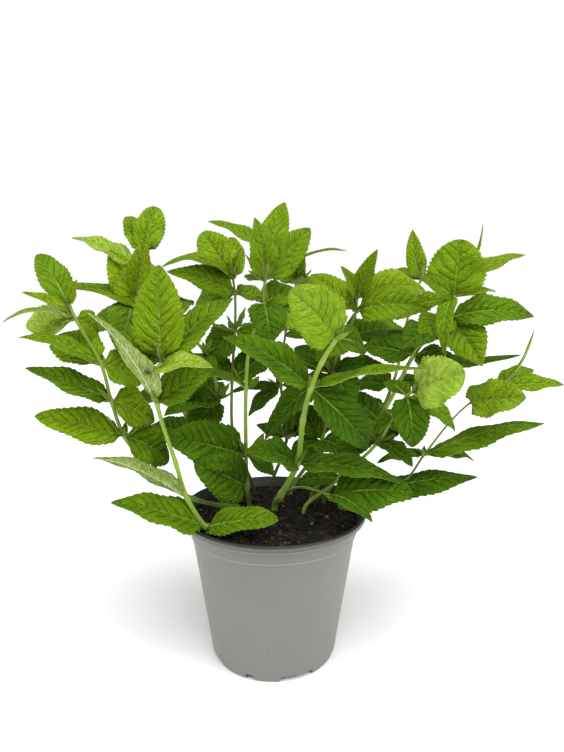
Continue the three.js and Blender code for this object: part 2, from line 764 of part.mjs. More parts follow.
// ---------------------------------------------------------------- leaves
// Half width along a leaf, as a share of its greatest: widest before the middle and
// drawn out to a point, or nearly oval where it is "full".
function outline(along, full = 0) {
  const reach = along ** (LEAF.widest + LEAF.fullWidest * full);
  return Math.sin(Math.PI * reach) ** (LEAF.taper - LEAF.fullTaper * full);
}

const teethFor = (length) => (length > LEAF.longLeaf ? LEAF.longTeeth : LEAF.shortTeeth);

// The frame of a leaf: its chord, the direction of its upper face and its side.
function leafFrame(root, tip, turn) {
  const chord = tip.clone().sub(root);
  const length = chord.length();
  chord.normalize();
  const middle = root.clone().lerp(tip, 0.5);
  const toViewer = viewer.clone().sub(middle).projectOnPlane(chord).normalize();
  const above = chord.clone().cross(toViewer);
  if (above.z < 0) above.negate();
  const face = toViewer
    .multiplyScalar(Math.cos(radians(turn)))
    .addScaledVector(above, Math.sin(radians(turn)));
  return { length, chord, face, side: face.clone().cross(chord) };
}

function leafSolid(root, leaf) {
  const tip = seen(leaf.tip, leaf.near);
  const { length, chord, face, side } = leafFrame(root, tip, leaf.turn);
  const { arch = 0, bend = 0 } = leaf;
  const bow = (along) => 4 * along * (1 - along) * length;
  const centre = (along) =>
    root
      .clone()
      .addScaledVector(chord, along * length)
      .addScaledVector(face, arch * bow(along))
      .addScaledVector(side, bend * bow(along));
  const fold = radians(leaf.fold ?? LEAF.fold);
  // A point of the upper or lower face: "across" runs from -1 to 1.
  const spot = (along, half, across, depth) => {
    const slope = 4 * (1 - 2 * along);
    const tangent = chord
      .clone()
      .addScaledVector(face, arch * slope)
      .addScaledVector(side, bend * slope)
      .normalize();
    const sideways = face.clone().cross(tangent).normalize();
    const normal = tangent.clone().cross(sideways);
    const raised = across * half;
    return centre(along)
      .addScaledVector(sideways, raised * Math.cos(fold))
      .addScaledVector(normal, Math.abs(raised) * Math.sin(fold) - depth);
  };
  const edge = [[LEAF.bladeStart, LEAF.petioleWidth / 2]];
  const teeth = teethFor(length);
  const pitch = (LEAF.lastTooth - LEAF.bladeStart) / teeth;
  for (let tooth = 0; tooth < teeth; tooth += 1) {
    const valley = LEAF.bladeStart + tooth * pitch;
    const peak = valley + LEAF.toothLean * pitch;
    if (tooth) edge.push([valley, (leaf.wide / 2) * outline(valley, leaf.full) * (1 - LEAF.toothDepth)]);
    edge.push([peak, (leaf.wide / 2) * outline(peak, leaf.full)]);
  }
  const rib = Array.from(
    { length: LEAF.ribSteps },
    (_, index) => LEAF.bladeStart + ((1 - LEAF.bladeStart) * index) / LEAF.ribSteps,
  );
  const points = [];
  const faces = [];
  const put = (v) => points.push(v.x, v.y, v.z) / 3 - 1;
  const triangle = (a, b, c, flip) => (flip ? faces.push(a, c, b) : faces.push(a, b, c));
  // The upper and the lower face: the stalk's two root corners, the midrib and the
  // left and right borders, which all run out at the tip.
  const layers = [0, LEAF.thickness].map((depth) => {
    const tipPoint = put(spot(1, 0, 0, depth));
    const border = (hand) => edge.map(([along, half]) => put(spot(along, half, hand, depth)));
    return {
      roots: [-1, 1].map((hand) => put(spot(0, LEAF.petioleWidth / 2, hand, depth))),
      rib: [...rib.map((along) => put(spot(along, 0, 0, depth))), tipPoint],
      borders: [-1, 1].map((hand) => [...border(hand), tipPoint]),
    };
  });
  const borderAlong = [...edge.map(([along]) => along), 1];
  const ribAlong = [...rib, 1];
  layers.forEach(({ roots, rib: ribs, borders }, lower) => {
    triangle(roots[0], ribs[0], roots[1], lower);
    borders.forEach((line, hand) => {
      const flip = Boolean(lower) !== Boolean(hand);
      triangle(roots[hand], line[0], ribs[0], flip);
      let [i, j] = [0, 0];
      while (i < ribs.length - 1 || j < line.length - 1) {
        const ribDone = i === ribs.length - 1;
        if (ribDone || (j < line.length - 1 && borderAlong[j + 1] <= ribAlong[i + 1])) {
          if (line[j + 1] !== ribs[i]) triangle(ribs[i], line[j], line[j + 1], flip);
          j += 1;
        } else {
          if (line[j] !== ribs[i + 1]) triangle(ribs[i], line[j], ribs[i + 1], flip);
          i += 1;
        }
      }
    });
  });
  // The thin wall all round.
  const [upper, under] = layers;
  const wall = (a, b, c, d, flip) => {
    triangle(a, c, d, flip);
    triangle(a, d, b, flip);
  };
  wall(upper.roots[1], upper.roots[0], under.roots[1], under.roots[0], false);
  [0, 1].forEach((hand) => {
    const [top, bottom] = [upper, under].map((layer) => [layer.roots[hand], ...layer.borders[hand]]);
    for (let index = 0; index < top.length - 1; index += 1) {
      wall(top[index], top[index + 1], bottom[index], bottom[index + 1], hand);
    }
  });
  const geometry = new THREE.BufferGeometry()
    .setAttribute("position", new THREE.Float32BufferAttribute(points, 3))
    .setIndex(faces);
  return solidOf(geometry);
}

function makeStem(stem) {
  const pieces = [stemSolid(routeOf(stem), stem.thick)];
  for (const { at, near, leaves = [] } of stem.joints) {
    const root = seen(at, near);
    for (const leaf of leaves) pieces.push(leafSolid(root, leaf));
  }
  return wasm.Manifold.union(pieces);
}

// ---------------------------------------------------------------- assembly
const plant = new THREE.Group();
plant.name = "potted_mint";
plant.add(meshOf("pot", makePot(), COLOUR.pot, ROUGHNESS.pot));

const feet = Object.values(STEMS).map(({ foot, thick }) => ({
  foot,
  radius: thick / Math.SQRT2,
  bottom: soilTop(...foot) - STEM.rootDepth,
}));
plant.add(meshOf("soil", makeSoil(feet), COLOUR.soil, ROUGHNESS.soil));

for (const [name, stem] of Object.entries(STEMS)) {
  plant.add(meshOf(name, makeStem(stem), COLOUR.mint, ROUGHNESS.mint));
}

export default plant;
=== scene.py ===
from math import cos, pi, radians, sin

import bpy
import numpy as np
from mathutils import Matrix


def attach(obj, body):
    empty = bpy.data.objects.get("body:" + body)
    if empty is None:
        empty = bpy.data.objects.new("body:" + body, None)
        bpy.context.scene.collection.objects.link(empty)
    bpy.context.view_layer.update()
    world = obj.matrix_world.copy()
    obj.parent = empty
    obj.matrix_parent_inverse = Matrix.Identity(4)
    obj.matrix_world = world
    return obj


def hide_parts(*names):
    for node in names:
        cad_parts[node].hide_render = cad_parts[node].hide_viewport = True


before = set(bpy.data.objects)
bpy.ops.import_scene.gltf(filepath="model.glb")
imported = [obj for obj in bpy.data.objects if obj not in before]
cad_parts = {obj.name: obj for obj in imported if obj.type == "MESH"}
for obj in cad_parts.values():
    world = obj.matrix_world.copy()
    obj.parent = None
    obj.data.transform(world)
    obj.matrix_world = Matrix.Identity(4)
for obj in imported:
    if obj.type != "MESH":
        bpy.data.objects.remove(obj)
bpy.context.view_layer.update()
print("frame loaded:", len(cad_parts), "nodes")

millimetre = 0.001

# The viewpoint that the plant's points are read from: a picture 564 wide and 752 high,
# focal length in its pixels, distances in mm from the pot's axis, pitch in degrees down.
view = dict(focal=600, middle=(282, 376), distance=372, height=247, aside=5.5, pitch=9.6)


def leafTo(tip, near, wide, turn, arch, **more):
    return dict(tip=tip, near=near, wide=wide, turn=turn, arch=arch, **more)


def jointAt(at, near, *leaves):
    return dict(at=at, near=near, leaves=leaves)


def stemFrom(foot, thick, *joints):
    return dict(foot=foot, thick=thick, joints=joints)


# Each stem stands at foot (x, y) in the soil, is "thick" mm there, and runs through its
# joints. A joint is seen at picture point "at", "near" mm in front of the pot's axis, and a
# leaf's tip likewise. The blade is "wide" mm, "turn" is the angle between its upper face and
# the viewer, "arch" bows the midrib and "bend" does so sideways, "fold" is the rise of each
# half, and "full" makes the outline rounder.
stems = dict(
    stem_front_left=stemFrom((-40, -26), 3.4,
        jointAt((206, 527), 27,
            leafTo((112, 500), 52, 26, 40, 0.04, full=0.2),
            leafTo((278, 519), 44, 22, 40, 0.05, full=0.9)),
        jointAt((187, 498), 31,
            leafTo((93, 454), 56, 19, 118, 0.06)),
        jointAt((176, 464), 38),
        jointAt((157, 404), 50,
            leafTo((90, 311), 86, 22, 118, 0.06), leafTo((214, 366), 42, 24, 38, 0.07)),
        jointAt((154, 374), 55,
            leafTo((212, 365), 82, 17, 58, 0.1)),
        jointAt((161, 362), 53,
            leafTo((158, 264), 44, 30, 8, 0.05, full=0.3), leafTo((233, 296), 24, 24, 40, 0.06))),
    stem_left=stemFrom((-23, -2), 3,
        jointAt((224, 506), 5),
        jointAt((194, 499), 9),
        jointAt((160, 480), 16),
        jointAt((142, 459), 20),
        jointAt((124, 436), 24,
            leafTo((35, 415), 44, 26, 38, 0.01, full=0.4), leafTo((171, 462), 4, 30, 36, 0.1)),
        jointAt((111, 400), 26,
            leafTo((26, 366), 44, 21, 46, 0.02), leafTo((156, 421), 4, 28, 34, 0.06)),
        jointAt((101, 364), 27,
            leafTo((18, 334), 42, 15, 50, 0.09), leafTo((52, 338), 6, 28, 30, 0.1, full=0.4),
            leafTo((145, 380), 2, 27, 34, 0.08)),
        jointAt((75, 318), 28,
            leafTo((24, 322), 4, 23, 28, 0.02, full=0.5), leafTo((1, 321), 38, 13, 88, 0.14),
            leafTo((99, 336), 2, 18, 40, 0.1)),
        jointAt((69, 304), 27,
            leafTo((38, 252), 12, 19, 12, 0.04, full=0.7), leafTo((23, 291), 46, 10, 62, -0.04),
            leafTo((76, 280), 36, 7, 30, 0.03))),
    stem_back_left=stemFrom((-27, 18), 3,
        jointAt((218, 437), -19),
        jointAt((218, 398), -18,
            leafTo((164, 414), 18, 24, 48, 0.08), leafTo((188, 440), -4, 26, 20, 0.1),
            leafTo((196, 380), -46, 22, 45, 0.06)),
        jointAt((205, 352), -14,
            leafTo((186, 400), 6, 28, 24, 0.1)),
        jointAt((160, 316), -8,
            leafTo((88, 330), -34, 27, 40, 0.12), leafTo((192, 300), -46, 24, 50, 0.08),
            leafTo((56, 284), 12, 15, 56, 0.09)),
        jointAt((136, 297), -4,
            leafTo((120, 353), 26, 27, 20, 0.06, full=0.4), leafTo((146, 234), 18, 16, 16, 0.03),
            leafTo((109, 250), 4, 24, 10, 0.06)),
        jointAt((136, 266), -3,
            leafTo((72, 235), 0, 19, 55, 0.06)),
        jointAt((143, 252), -6,
            leafTo((128, 215), -18, 16, 20, 0.04, full=1),
            leafTo((157, 206), -14, 20, 8, 0.04, full=1))),
    stem_back_mid=stemFrom((-14, 30), 2.8,
        jointAt((234, 440), -34),
        jointAt((232, 380), -40,
            leafTo((188, 356), -62, 26, 36, 0.06), leafTo((274, 352), -62, 27, 38, 0.06)),
        jointAt((235, 330), -44,
            leafTo((208, 362), -58, 28, 30, 0.08), leafTo((264, 354), -66, 24, 34, 0.08)),
        jointAt((235, 294), -46,
            leafTo((167, 270), -28, 22, 38, 0.09), leafTo((194, 302), -76, 28, 34, 0.05),
            leafTo((272, 302), -78, 20, 60, 0.08)),
        jointAt((233, 279), -46,
            leafTo((202, 231), -56, 27, 6, 0.05, full=0.9),
            leafTo((232, 236), -66, 18, 12, 0.05, full=0.9), leafTo((160, 265), -32, 15, 64, 0.2),
            leafTo((241, 247), -34, 9, 66, 0.05))),
    stem_centre=stemFrom((-16, 4), 3.2,
        jointAt((247, 486), 4,
            leafTo((195, 464), 34, 32, 10, 0.06, full=0.7)),
        jointAt((246, 455), 6,
            leafTo((163, 436), 30, 34, 22, 0.04, full=0.3), leafTo((276, 476), -22, 20, 50, 0.08)),
        jointAt((246, 388), 8,
            leafTo((197, 377), 20, 14, 70, 0.14)),
        jointAt((250, 345), 6),
        jointAt((264, 303), 2,
            leafTo((300, 292), -22, 24, 42, 0.1), leafTo((270, 343), 26, 25, 15, 0.08, full=0.4),
            leafTo((333, 344), -14, 26, 40, 0.08)),
        jointAt((265, 280), 0,
            leafTo((256, 217), 12, 20, 20, 0.06), leafTo((311, 227), -6, 24, 15, 0.06, full=0.3),
            leafTo((247, 275), -30, 15, 50, 0.06)),
        jointAt((269, 250), -4,
            leafTo((285, 201), -12, 18, 12, 0.05), leafTo((208, 219), -16, 15, 58, 0.05))),
    stem_front_mid=stemFrom((1, -3), 4.6,
        jointAt((281, 495), 10),
        jointAt((297, 464), 18,
            leafTo((246, 451), 40, 25, 45, 0.1), leafTo((401, 480), 34, 25, 55, 0.06)),
        jointAt((303, 420), 30),
        jointAt((311, 388), 42,
            leafTo((224, 334), 52, 25, 42, 0.08), leafTo((426, 366), 52, 18, 72, 0.04),
            leafTo((370, 449), 30, 25, 22, 0.1, full=0.4)),
        jointAt((322, 362), 52),
        jointAt((337, 338), 58,
            leafTo((292, 290), 78, 31, 14, 0.05, full=1), leafTo((366, 348), 28, 19, 40, 0.06))),
    stem_right_front=stemFrom((20, -6), 3.4,
        jointAt((340, 478), 4,
            leafTo((296, 482), -14, 20, 50, 0.06)),
        jointAt((379, 441), 14,
            leafTo((414, 466), 26, 17, 50, 0.08), leafTo((342, 420), -10, 20, 50, 0.08)),
        jointAt((394, 414), 24,
            leafTo((372, 434), 10, 14, 50, 0.06)),
        jointAt((407, 396), 34,
            leafTo((413, 448), 48, 23, 10, 0.16, full=0.5), leafTo((458, 431), 30, 16, 50, 0.1),
            leafTo((384, 380), 12, 15, 50, 0.06)),
        jointAt((414, 391), 38,
            leafTo((464, 372), 60, 31, 20, 0.04, full=1))),
    stem_right_low=stemFrom((28, 6), 2.8,
        jointAt((372, 492), 0,
            leafTo((478, 475), 16, 25, 40, 0.05, fold=-24)),
        jointAt((405, 480), 4),
        jointAt((424, 455), 8,
            leafTo((545, 420), 22, 21, 48, 0.06, fold=-24), leafTo((376, 462), 2, 17, 62, 0.08),
            leafTo((477, 459), -18, 14, 60, 0.06)),
        jointAt((450, 422), 10),
        jointAt((470, 403), 12,
            leafTo((525, 397), 40, 27, 32, 0.04, full=0.6), leafTo((503, 384), -22, 18, 60, 0.08)),
        jointAt((500, 386), 10,
            leafTo((532, 329), 4, 7, 80, -0.1), leafTo((564, 383), 24, 17, 50, 0.02),
            leafTo((534, 367), -18, 16, 40, 0.05))),
    stem_low_right=stemFrom((6, 16), 2.4,
        jointAt((292, 489), -6),
        jointAt((308, 488), 10),
        jointAt((330, 495), 24,
            leafTo((414, 492), 34, 33, 30, 0.08, full=0.5), leafTo((373, 521), 56, 16, 40, 0.12))),
    stem_right_back=stemFrom((26, 22), 3.2,
        jointAt((378, 420), -18,
            leafTo((342, 394), -44, 27, 45, 0.08), leafTo((351, 457), 4, 28, 24, 0.08),
            leafTo((424, 432), -40, 20, 48, 0.08)),
        jointAt((414, 355), -10,
            leafTo((462, 372), 6, 24, 45, 0.08), leafTo((521, 353), -12, 16, 60, -0.06, fold=-10),
            leafTo((388, 330), -44, 22, 50, 0.08), leafTo((361, 345), -26, 24, 34, 0.06)),
        jointAt((433, 331), -4,
            leafTo((404, 347), 16, 26, 40, 0.1)),
        jointAt((449, 318), 0,
            leafTo((536, 315), 14, 24, 38, 0.12), leafTo((483, 366), 22, 29, 18, 0.08),
            leafTo((419, 341), 10, 26, 40, 0.1)),
        jointAt((454, 297), 0,
            leafTo((444, 358), 30, 12, 20, 0.2), leafTo((496, 290), -20, 18, 66, 0.05),
            leafTo((421, 278), 14, 15, 40, 0.06), leafTo((461, 239), 4, 37, 6, 0.03, full=0.9)),
        jointAt((456, 284), -6,
            leafTo((436, 258), -24, 16, 40, 0.05), leafTo((526, 252), -18, 15, 52, 0.05),
            leafTo((480, 224), -36, 7, 80, -0.1))),
    stem_back_right=stemFrom((12, 30), 3,
        jointAt((322, 440), -38,
            leafTo((352, 457), -6, 28, 30, 0.1), leafTo((288, 462), -30, 22, 34, 0.06),
            leafTo((299, 402), -58, 27, 26, 0.06)),
        jointAt((332, 372), -42,
            leafTo((352, 412), -14, 28, 24, 0.1), leafTo((388, 366), -30, 24, 56, 0.06),
            leafTo((294, 346), -70, 27, 34, 0.06), leafTo((262, 440), -34, 24, 36, 0.1)),
        jointAt((346, 338), -40,
            leafTo((398, 330), -66, 26, 45, 0.08), leafTo((284, 334), -24, 26, 44, 0.08),
            leafTo((316, 360), -12, 26, 28, 0.1)),
        jointAt((356, 311), -36,
            leafTo((432, 309), -24, 30, 30, 0.16), leafTo((310, 274), -58, 25, 36, 0.06)),
        jointAt((357, 298), -36,
            leafTo((427, 290), -50, 29, 34, 0.16), leafTo((377, 249), -24, 14, 20, 0.05),
            leafTo((342, 266), -22, 12, 45, 0.05))),
    stem_back=stemFrom((-2, 38), 2.8,
        jointAt((287, 437), -48,
            leafTo((256, 424), -60, 14, 40, 0.04), leafTo((314, 404), -66, 22, 30, 0.04)),
        jointAt((281, 385), -60,
            leafTo((322, 398), -96, 22, 50, 0.08), leafTo((223, 394), -84, 12, 62, 0.04),
            leafTo((247, 416), -66, 17, 46, 0.06)),
        jointAt((286, 330), -74,
            leafTo((340, 322), -66, 20, 52, 0.08), leafTo((256, 332), -112, 22, 48, 0.06)),
        jointAt((296, 284), -80,
            leafTo((302, 256), -64, 15, 16, 0.04), leafTo((262, 268), -108, 18, 50, 0.06),
            leafTo((330, 290), -112, 18, 50, 0.06)),
        jointAt((293, 262), -84,
            leafTo((347, 249), -66, 8, 84, 0.08), leafTo((300, 240), -104, 13, 40, 0.04))),
    stem_far_left=stemFrom((-34, 4), 3,
        jointAt((196, 440), -18,
            leafTo((150, 424), -30, 28, 34, 0.06)),
        jointAt((176, 392), -40,
            leafTo((132, 402), -66, 28, 50, 0.08)),
        jointAt((164, 350), -58,
            leafTo((108, 372), -40, 27, 34, 0.06), leafTo((116, 330), -48, 27, 50, 0.08),
            leafTo((196, 356), -98, 22, 50, 0.08)),
        jointAt((158, 316), -68,
            leafTo((118, 286), -92, 22, 45, 0.06), leafTo((190, 306), -92, 20, 50, 0.06)),
        jointAt((152, 290), -74,
            leafTo((146, 258), -92, 16, 20, 0.04), leafTo((124, 270), -62, 14, 50, 0.04))),
    stem_far_right=stemFrom((34, 14), 3,
        jointAt((366, 440), -30,
            leafTo((414, 416), -60, 26, 36, 0.06), leafTo((332, 420), -66, 27, 40, 0.06)),
        jointAt((392, 386), -54,
            leafTo((352, 384), -84, 26, 50, 0.08), leafTo((436, 384), -40, 20, 55, 0.08)),
        jointAt((404, 340), -72,
            leafTo((452, 336), -86, 22, 50, 0.08), leafTo((366, 322), -96, 22, 50, 0.06)),
        jointAt((410, 306), -80,
            leafTo((456, 300), -66, 20, 50, 0.06), leafTo((384, 292), -110, 20, 45, 0.06)),
        jointAt((421, 280), -82,
            leafTo((413, 229), -84, 16, 14, 0.04, bend=0.05),
            leafTo((394, 268), -106, 15, 50, 0.04))),
)


def srgb(red, green, blue):
    # a colour given as on a screen, 0 to 255, in linear light
    channels = np.array([red, green, blue]) / 255
    linear = np.where(channels <= 0.04045, channels / 12.92, ((channels + 0.055) / 1.055) ** 2.4)
    return (*linear, 1.0)


def seen(at, near):
    # the point "near" in front of the axis on the line of sight through a picture point:
    # viewpoint + reach * (across, ahead, above), with the pitch turned out of "above"
    at, near = np.asarray(at, float), np.asarray(near, float)
    across = (at[..., 0] - view["middle"][0]) / view["focal"]
    above = (view["middle"][1] - at[..., 1]) / view["focal"]
    tilt = radians(view["pitch"])
    reach = (view["distance"] - near) / (cos(tilt) + above * sin(tilt))
    height = view["height"] + reach * (above * cos(tilt) - sin(tilt))
    return np.stack([view["aside"] + reach * across, -near, height], -1)


def unit(vectors):
    return vectors / np.linalg.norm(vectors, axis=-1, keepdims=True)


def squared(vectors, axis):
    # what is left of a vector once its share along the axis is taken out, at length 1
    return unit(vectors - (vectors * axis).sum(-1, keepdims=True) * axis)


def smooth(low, high, values):
    # 0 below low, 1 above high, with an even S between them: 3 t^2 - 2 t^3
    share = np.clip((values - low) / (high - low), 0, 1)
    return share * share * (3 - 2 * share)


# what each random draw starts from
seeds = dict(plant=8, potSheet=5, lumps=11, fineLumps=12, crumbs=21, fibres=34)


def ripples(points, seed, sizes, count=36):
    # uneven ground: a sum of sine waves of random direction and phase, sizes in mm
    draw = np.random.default_rng(seed)
    direction = unit(draw.normal(size=(count, points.shape[-1])))
    length = np.exp(draw.uniform(np.log(sizes[0]), np.log(sizes[1]), count))
    phase = draw.uniform(0, 2 * pi, count)
    waves = np.sin(points @ (direction * (2 * pi / length)[:, None]).T + phase)
    return (waves * length / length.mean()).sum(-1) / np.sqrt(count)


def gridFaces(rows, columns, closed=False):
    # quads between neighbouring points of a grid, the last column joined to the first if closed
    across = np.arange(columns if closed else columns - 1)
    row, column = np.meshgrid(np.arange(rows - 1), across, indexing="ij")
    after = (column + 1) % columns
    corners = [row * columns + column, (row + 1) * columns + column]
    corners += [(row + 1) * columns + after, row * columns + after]
    return np.stack(corners, -1).reshape(-1, 4)


def makeMesh(name, points, faces, caps=(), maps=(), tone=None, slots=None):
    # points in mm, faces as quads, caps as rings of points that close an end; maps are
    # (name, u and v of each point), tone is 4 numbers a point, slots a material for each face
    mesh = bpy.data.meshes.new(name)
    mesh.vertices.add(len(points))
    mesh.vertices.foreach_set("co", (points * millimetre).astype(np.float32).ravel())
    corners = np.concatenate([faces.ravel(), *caps]).astype(np.int32)
    sizes = np.concatenate([np.full(len(faces), 4), [len(cap) for cap in caps]]).astype(np.int32)
    mesh.loops.add(len(corners))
    mesh.loops.foreach_set("vertex_index", corners)
    mesh.polygons.add(len(sizes))
    mesh.polygons.foreach_set("loop_start", np.cumsum(sizes) - sizes)
    mesh.polygons.foreach_set("use_smooth", np.ones(len(sizes), bool))
    if slots is not None:
        mesh.polygons.foreach_set("material_index", slots.astype(np.int32))
    for label, places in maps:
        layer = mesh.uv_layers.new(name=label)
        layer.data.foreach_set("uv", places[corners].astype(np.float32).ravel())
    if tone is not None:
        layer = mesh.attributes.new("tone", "FLOAT_COLOR", "POINT")
        layer.data.foreach_set("color", tone.astype(np.float32).ravel())
    mesh.update(calc_edges=True)
    mesh.validate()
    piece = bpy.data.objects.new(name, mesh)
    bpy.context.scene.collection.objects.link(piece)
    return piece


def place(piece, slot, *replaced, materials=()):
    # hand a piece to the frame: its body and the nodes that it stands for; slot is not used
    for material in materials:
        piece.data.materials.append(material)
    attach(piece, "root")
    if replaced:
        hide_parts(*replaced)
    return piece


def feed(tree, value, target):
    # another node's output is linked to the socket, a constant is set on it
    if isinstance(value, bpy.types.NodeSocket):
        tree.links.new(value, target)
    else:
        target.default_value = value


def addNode(tree, kind, *links, **settings):
    # a node with its settings, and (input, value or output) pairs
    made = tree.nodes.new(kind)
    for name, value in settings.items():
        setattr(made, name, value)
    for socket, value in links:
        feed(tree, value, made.inputs[socket])
    return made


def calc(tree, operation, first, second=0.0, third=0.0, clamp=False):
    links = ((0, first), (1, second), (2, third))
    made = addNode(tree, "ShaderNodeMath", *links, operation=operation, use_clamp=clamp)
    return made.outputs[0]


def times(tree, first, second, clamp=False):
    return calc(tree, "MULTIPLY", first, second, clamp=clamp)


def ramp(tree, value, low, high, start=0.0, end=1.0):
    # from start to end in an even S while the value goes from low to high
    limits = zip(("From Min", "From Max", "To Min", "To Max"), (low, high, start, end))
    links = (("Value", value), *limits)
    return addNode(tree, "ShaderNodeMapRange", *links, interpolation_type="SMOOTHSTEP").outputs["Result"]


def noise(tree, vector, scale, detail):
    links = (("Vector", vector), ("Scale", scale), ("Detail", detail))
    return addNode(tree, "ShaderNodeTexNoise", *links).outputs


def moved(tree, vector, scale, start):
    # vector * scale + start
    links = ((0, vector), (1, scale), (2, start))
    return addNode(tree, "ShaderNodeVectorMath", *links, operation="MULTIPLY_ADD").outputs[0]


def blendColour(tree, share, first, second):
    made = addNode(tree, "ShaderNodeMix", data_type="RGBA")
    for socket, value in (("Factor_Float", share), ("A_Color", first), ("B_Color", second)):
        feed(tree, value, next(s for s in made.inputs if s.identifier == socket))
    return next(s for s in made.outputs if s.identifier == "Result_Color")


def newGroup(name, inputs, outputs):
    # a node group with named sockets: (name, kind) pairs
    tree = bpy.data.node_groups.new(name, "ShaderNodeTree")
    for side, sockets in (("INPUT", inputs), ("OUTPUT", outputs)):
        for label, kind in sockets:
            tree.interface.new_socket(label, in_out=side, socket_type="NodeSocket" + kind)
    return tree, tree.nodes.new("NodeGroupInput").outputs, tree.nodes.new("NodeGroupOutput").inputs


def useGroup(tree, group, *links):
    return addNode(tree, "ShaderNodeGroup", *links, node_tree=group).outputs


def newMaterial(name, **constants):
    # a material with one Principled shader, its constant sockets set; _ stands for a space
    material = bpy.data.materials.new(name)
    material.use_nodes = True
    tree = material.node_tree
    shader = next(n for n in tree.nodes if n.type == "BSDF_PRINCIPLED")
    for socket, value in constants.items():
        shader.inputs[socket.replace("_", " ")].default_value = value
    return material, tree, shader


def dressShader(tree, shader, colour, roughness, height, strength, distance):
    # what changes over a surface: its colour, its gloss and its fine relief, distance in m
    links = (("Height", height), ("Strength", strength), ("Distance", distance))
    bump = addNode(tree, "ShaderNodeBump", *links).outputs[0]
    for socket, value in (("Base Color", colour), ("Roughness", roughness), ("Normal", bump)):
        tree.links.new(value, shader.inputs[socket])


def toneParts(tree):
    # the four numbers of the mesh's "tone" attribute
    tone = addNode(tree, "ShaderNodeAttribute", attribute_name="tone").outputs
    parts = addNode(tree, "ShaderNodeSeparateColor", (0, tone["Color"])).outputs
    return parts["Red"], parts["Green"], parts["Blue"], tone["Alpha"]


veinForm = dict(
    midrib=(0.25, 0.75),  # mm from its middle where it starts to fade and is gone
    sideWidth=0.12, sway=0.5, swayScale=0.22,  # in vein spacings, and the sway's waves a mm
    edgeFade=(0.35, 0.95, 1, 0.15),  # the veins fade towards the blade's edge
    shift=130,  # moves the net from leaf to leaf
    netScale=(2.6, 3.4, 0), netBend=(1.3, 1.3, 0), netWidth=(0.02, 0.16), bendScale=0.8,
    puckerCount=2.5, puckerSway=1.1, puckerWidth=0.24, puckerDepth=0.9,  # fine cross veins
)


def makeVeinNet():
    # A leaf's veins. "Blade" is the blade map: x counts lateral veins, y runs -1 to 1 across.
    # "Place" is the place on the blade in mm. Midrib, side veins and fine net come out as
    # masks, 1 on the vein, and "Cells" as the swell of the blade between the fine veins.
    form = veinForm
    inputs = (("Blade", "Vector"), ("Place", "Vector"), ("Shift", "Float"))
    outputs = [(label, "Float") for label in ("Midrib", "Side Veins", "Net", "Cells")]
    tree, given, result = newGroup("vein net", inputs, outputs)
    blade = addNode(tree, "ShaderNodeSeparateXYZ", (0, given["Blade"])).outputs
    spot = addNode(tree, "ShaderNodeSeparateXYZ", (0, given["Place"])).outputs
    midrib = ramp(tree, calc(tree, "ABSOLUTE", spot["X"]), *form["midrib"], 1, 0)
    sway = calc(tree, "SUBTRACT", noise(tree, given["Place"], form["swayScale"], 2.0)["Fac"], 0.5)
    count = calc(tree, "MULTIPLY_ADD", sway, form["sway"], blade["X"])
    fade = ramp(tree, calc(tree, "ABSOLUTE", blade["Y"]), *form["edgeFade"])
    side = ramp(tree, calc(tree, "PINGPONG", count, 0.5), 0.0, form["sideWidth"], 1, 0)
    side = times(tree, side, fade)
    shift = times(tree, given["Shift"], form["shift"])
    start = addNode(tree, "ShaderNodeCombineXYZ", ("X", shift), ("Y", shift)).outputs[0]
    even = moved(tree, given["Blade"], form["netScale"], start)
    wobble = noise(tree, even, form["bendScale"], 2.0)
    links = (("Vector", moved(tree, wobble["Color"], form["netBend"], even)), ("Scale", 1.0))
    cells = addNode(tree, "ShaderNodeTexVoronoi", *links, feature="DISTANCE_TO_EDGE",
                    voronoi_dimensions="2D")
    toEdge = cells.outputs["Distance"]
    finer = times(tree, count, form["puckerCount"])
    finer = calc(tree, "MULTIPLY_ADD", wobble["Fac"], form["puckerSway"], finer)
    pucker = ramp(tree, calc(tree, "PINGPONG", finer, 0.5), 0.0, form["puckerWidth"], 1, 0)
    pucker = times(tree, pucker, fade)
    net = ramp(tree, toEdge, *form["netWidth"], 1, 0)
    net = calc(tree, "MAXIMUM", net, times(tree, pucker, form["puckerDepth"]))
    between = calc(tree, "SUBTRACT", 1.0, calc(tree, "MAXIMUM", pucker, side))
    swell = times(tree, ramp(tree, toEdge, 0.0, 0.5), between)
    for label, mask in (("Midrib", midrib), ("Side Veins", side), ("Net", net), ("Cells", swell)):
        tree.links.new(mask, result[label])
    return tree


def makeGrain():
    # fine and coarse unevenness of a surface, both 0 to 1, from coordinates in metres
    inputs = (("Vector", "Vector"), ("Fine", "Float"), ("Coarse", "Float"))
    tree, given, result = newGroup("grain", inputs, inputs[1:])
    for label, detail in (("Fine", 3.0), ("Coarse", 4.0)):
        tree.links.new(noise(tree, given["Vector"], given[label], detail)["Fac"], result[label])
    return tree


def useGrain(tree, fine, coarse):
    # the grain's two outputs at these scales, and the Object coordinates
    metres = addNode(tree, "ShaderNodeTexCoord").outputs["Object"]
    rough = useGroup(tree, grain, ("Vector", metres), ("Fine", fine), ("Coarse", coarse))
    return rough["Fine"], rough["Coarse"], metres


veinNet, grain = makeVeinNet(), makeGrain()
print("vein and grain groups made")


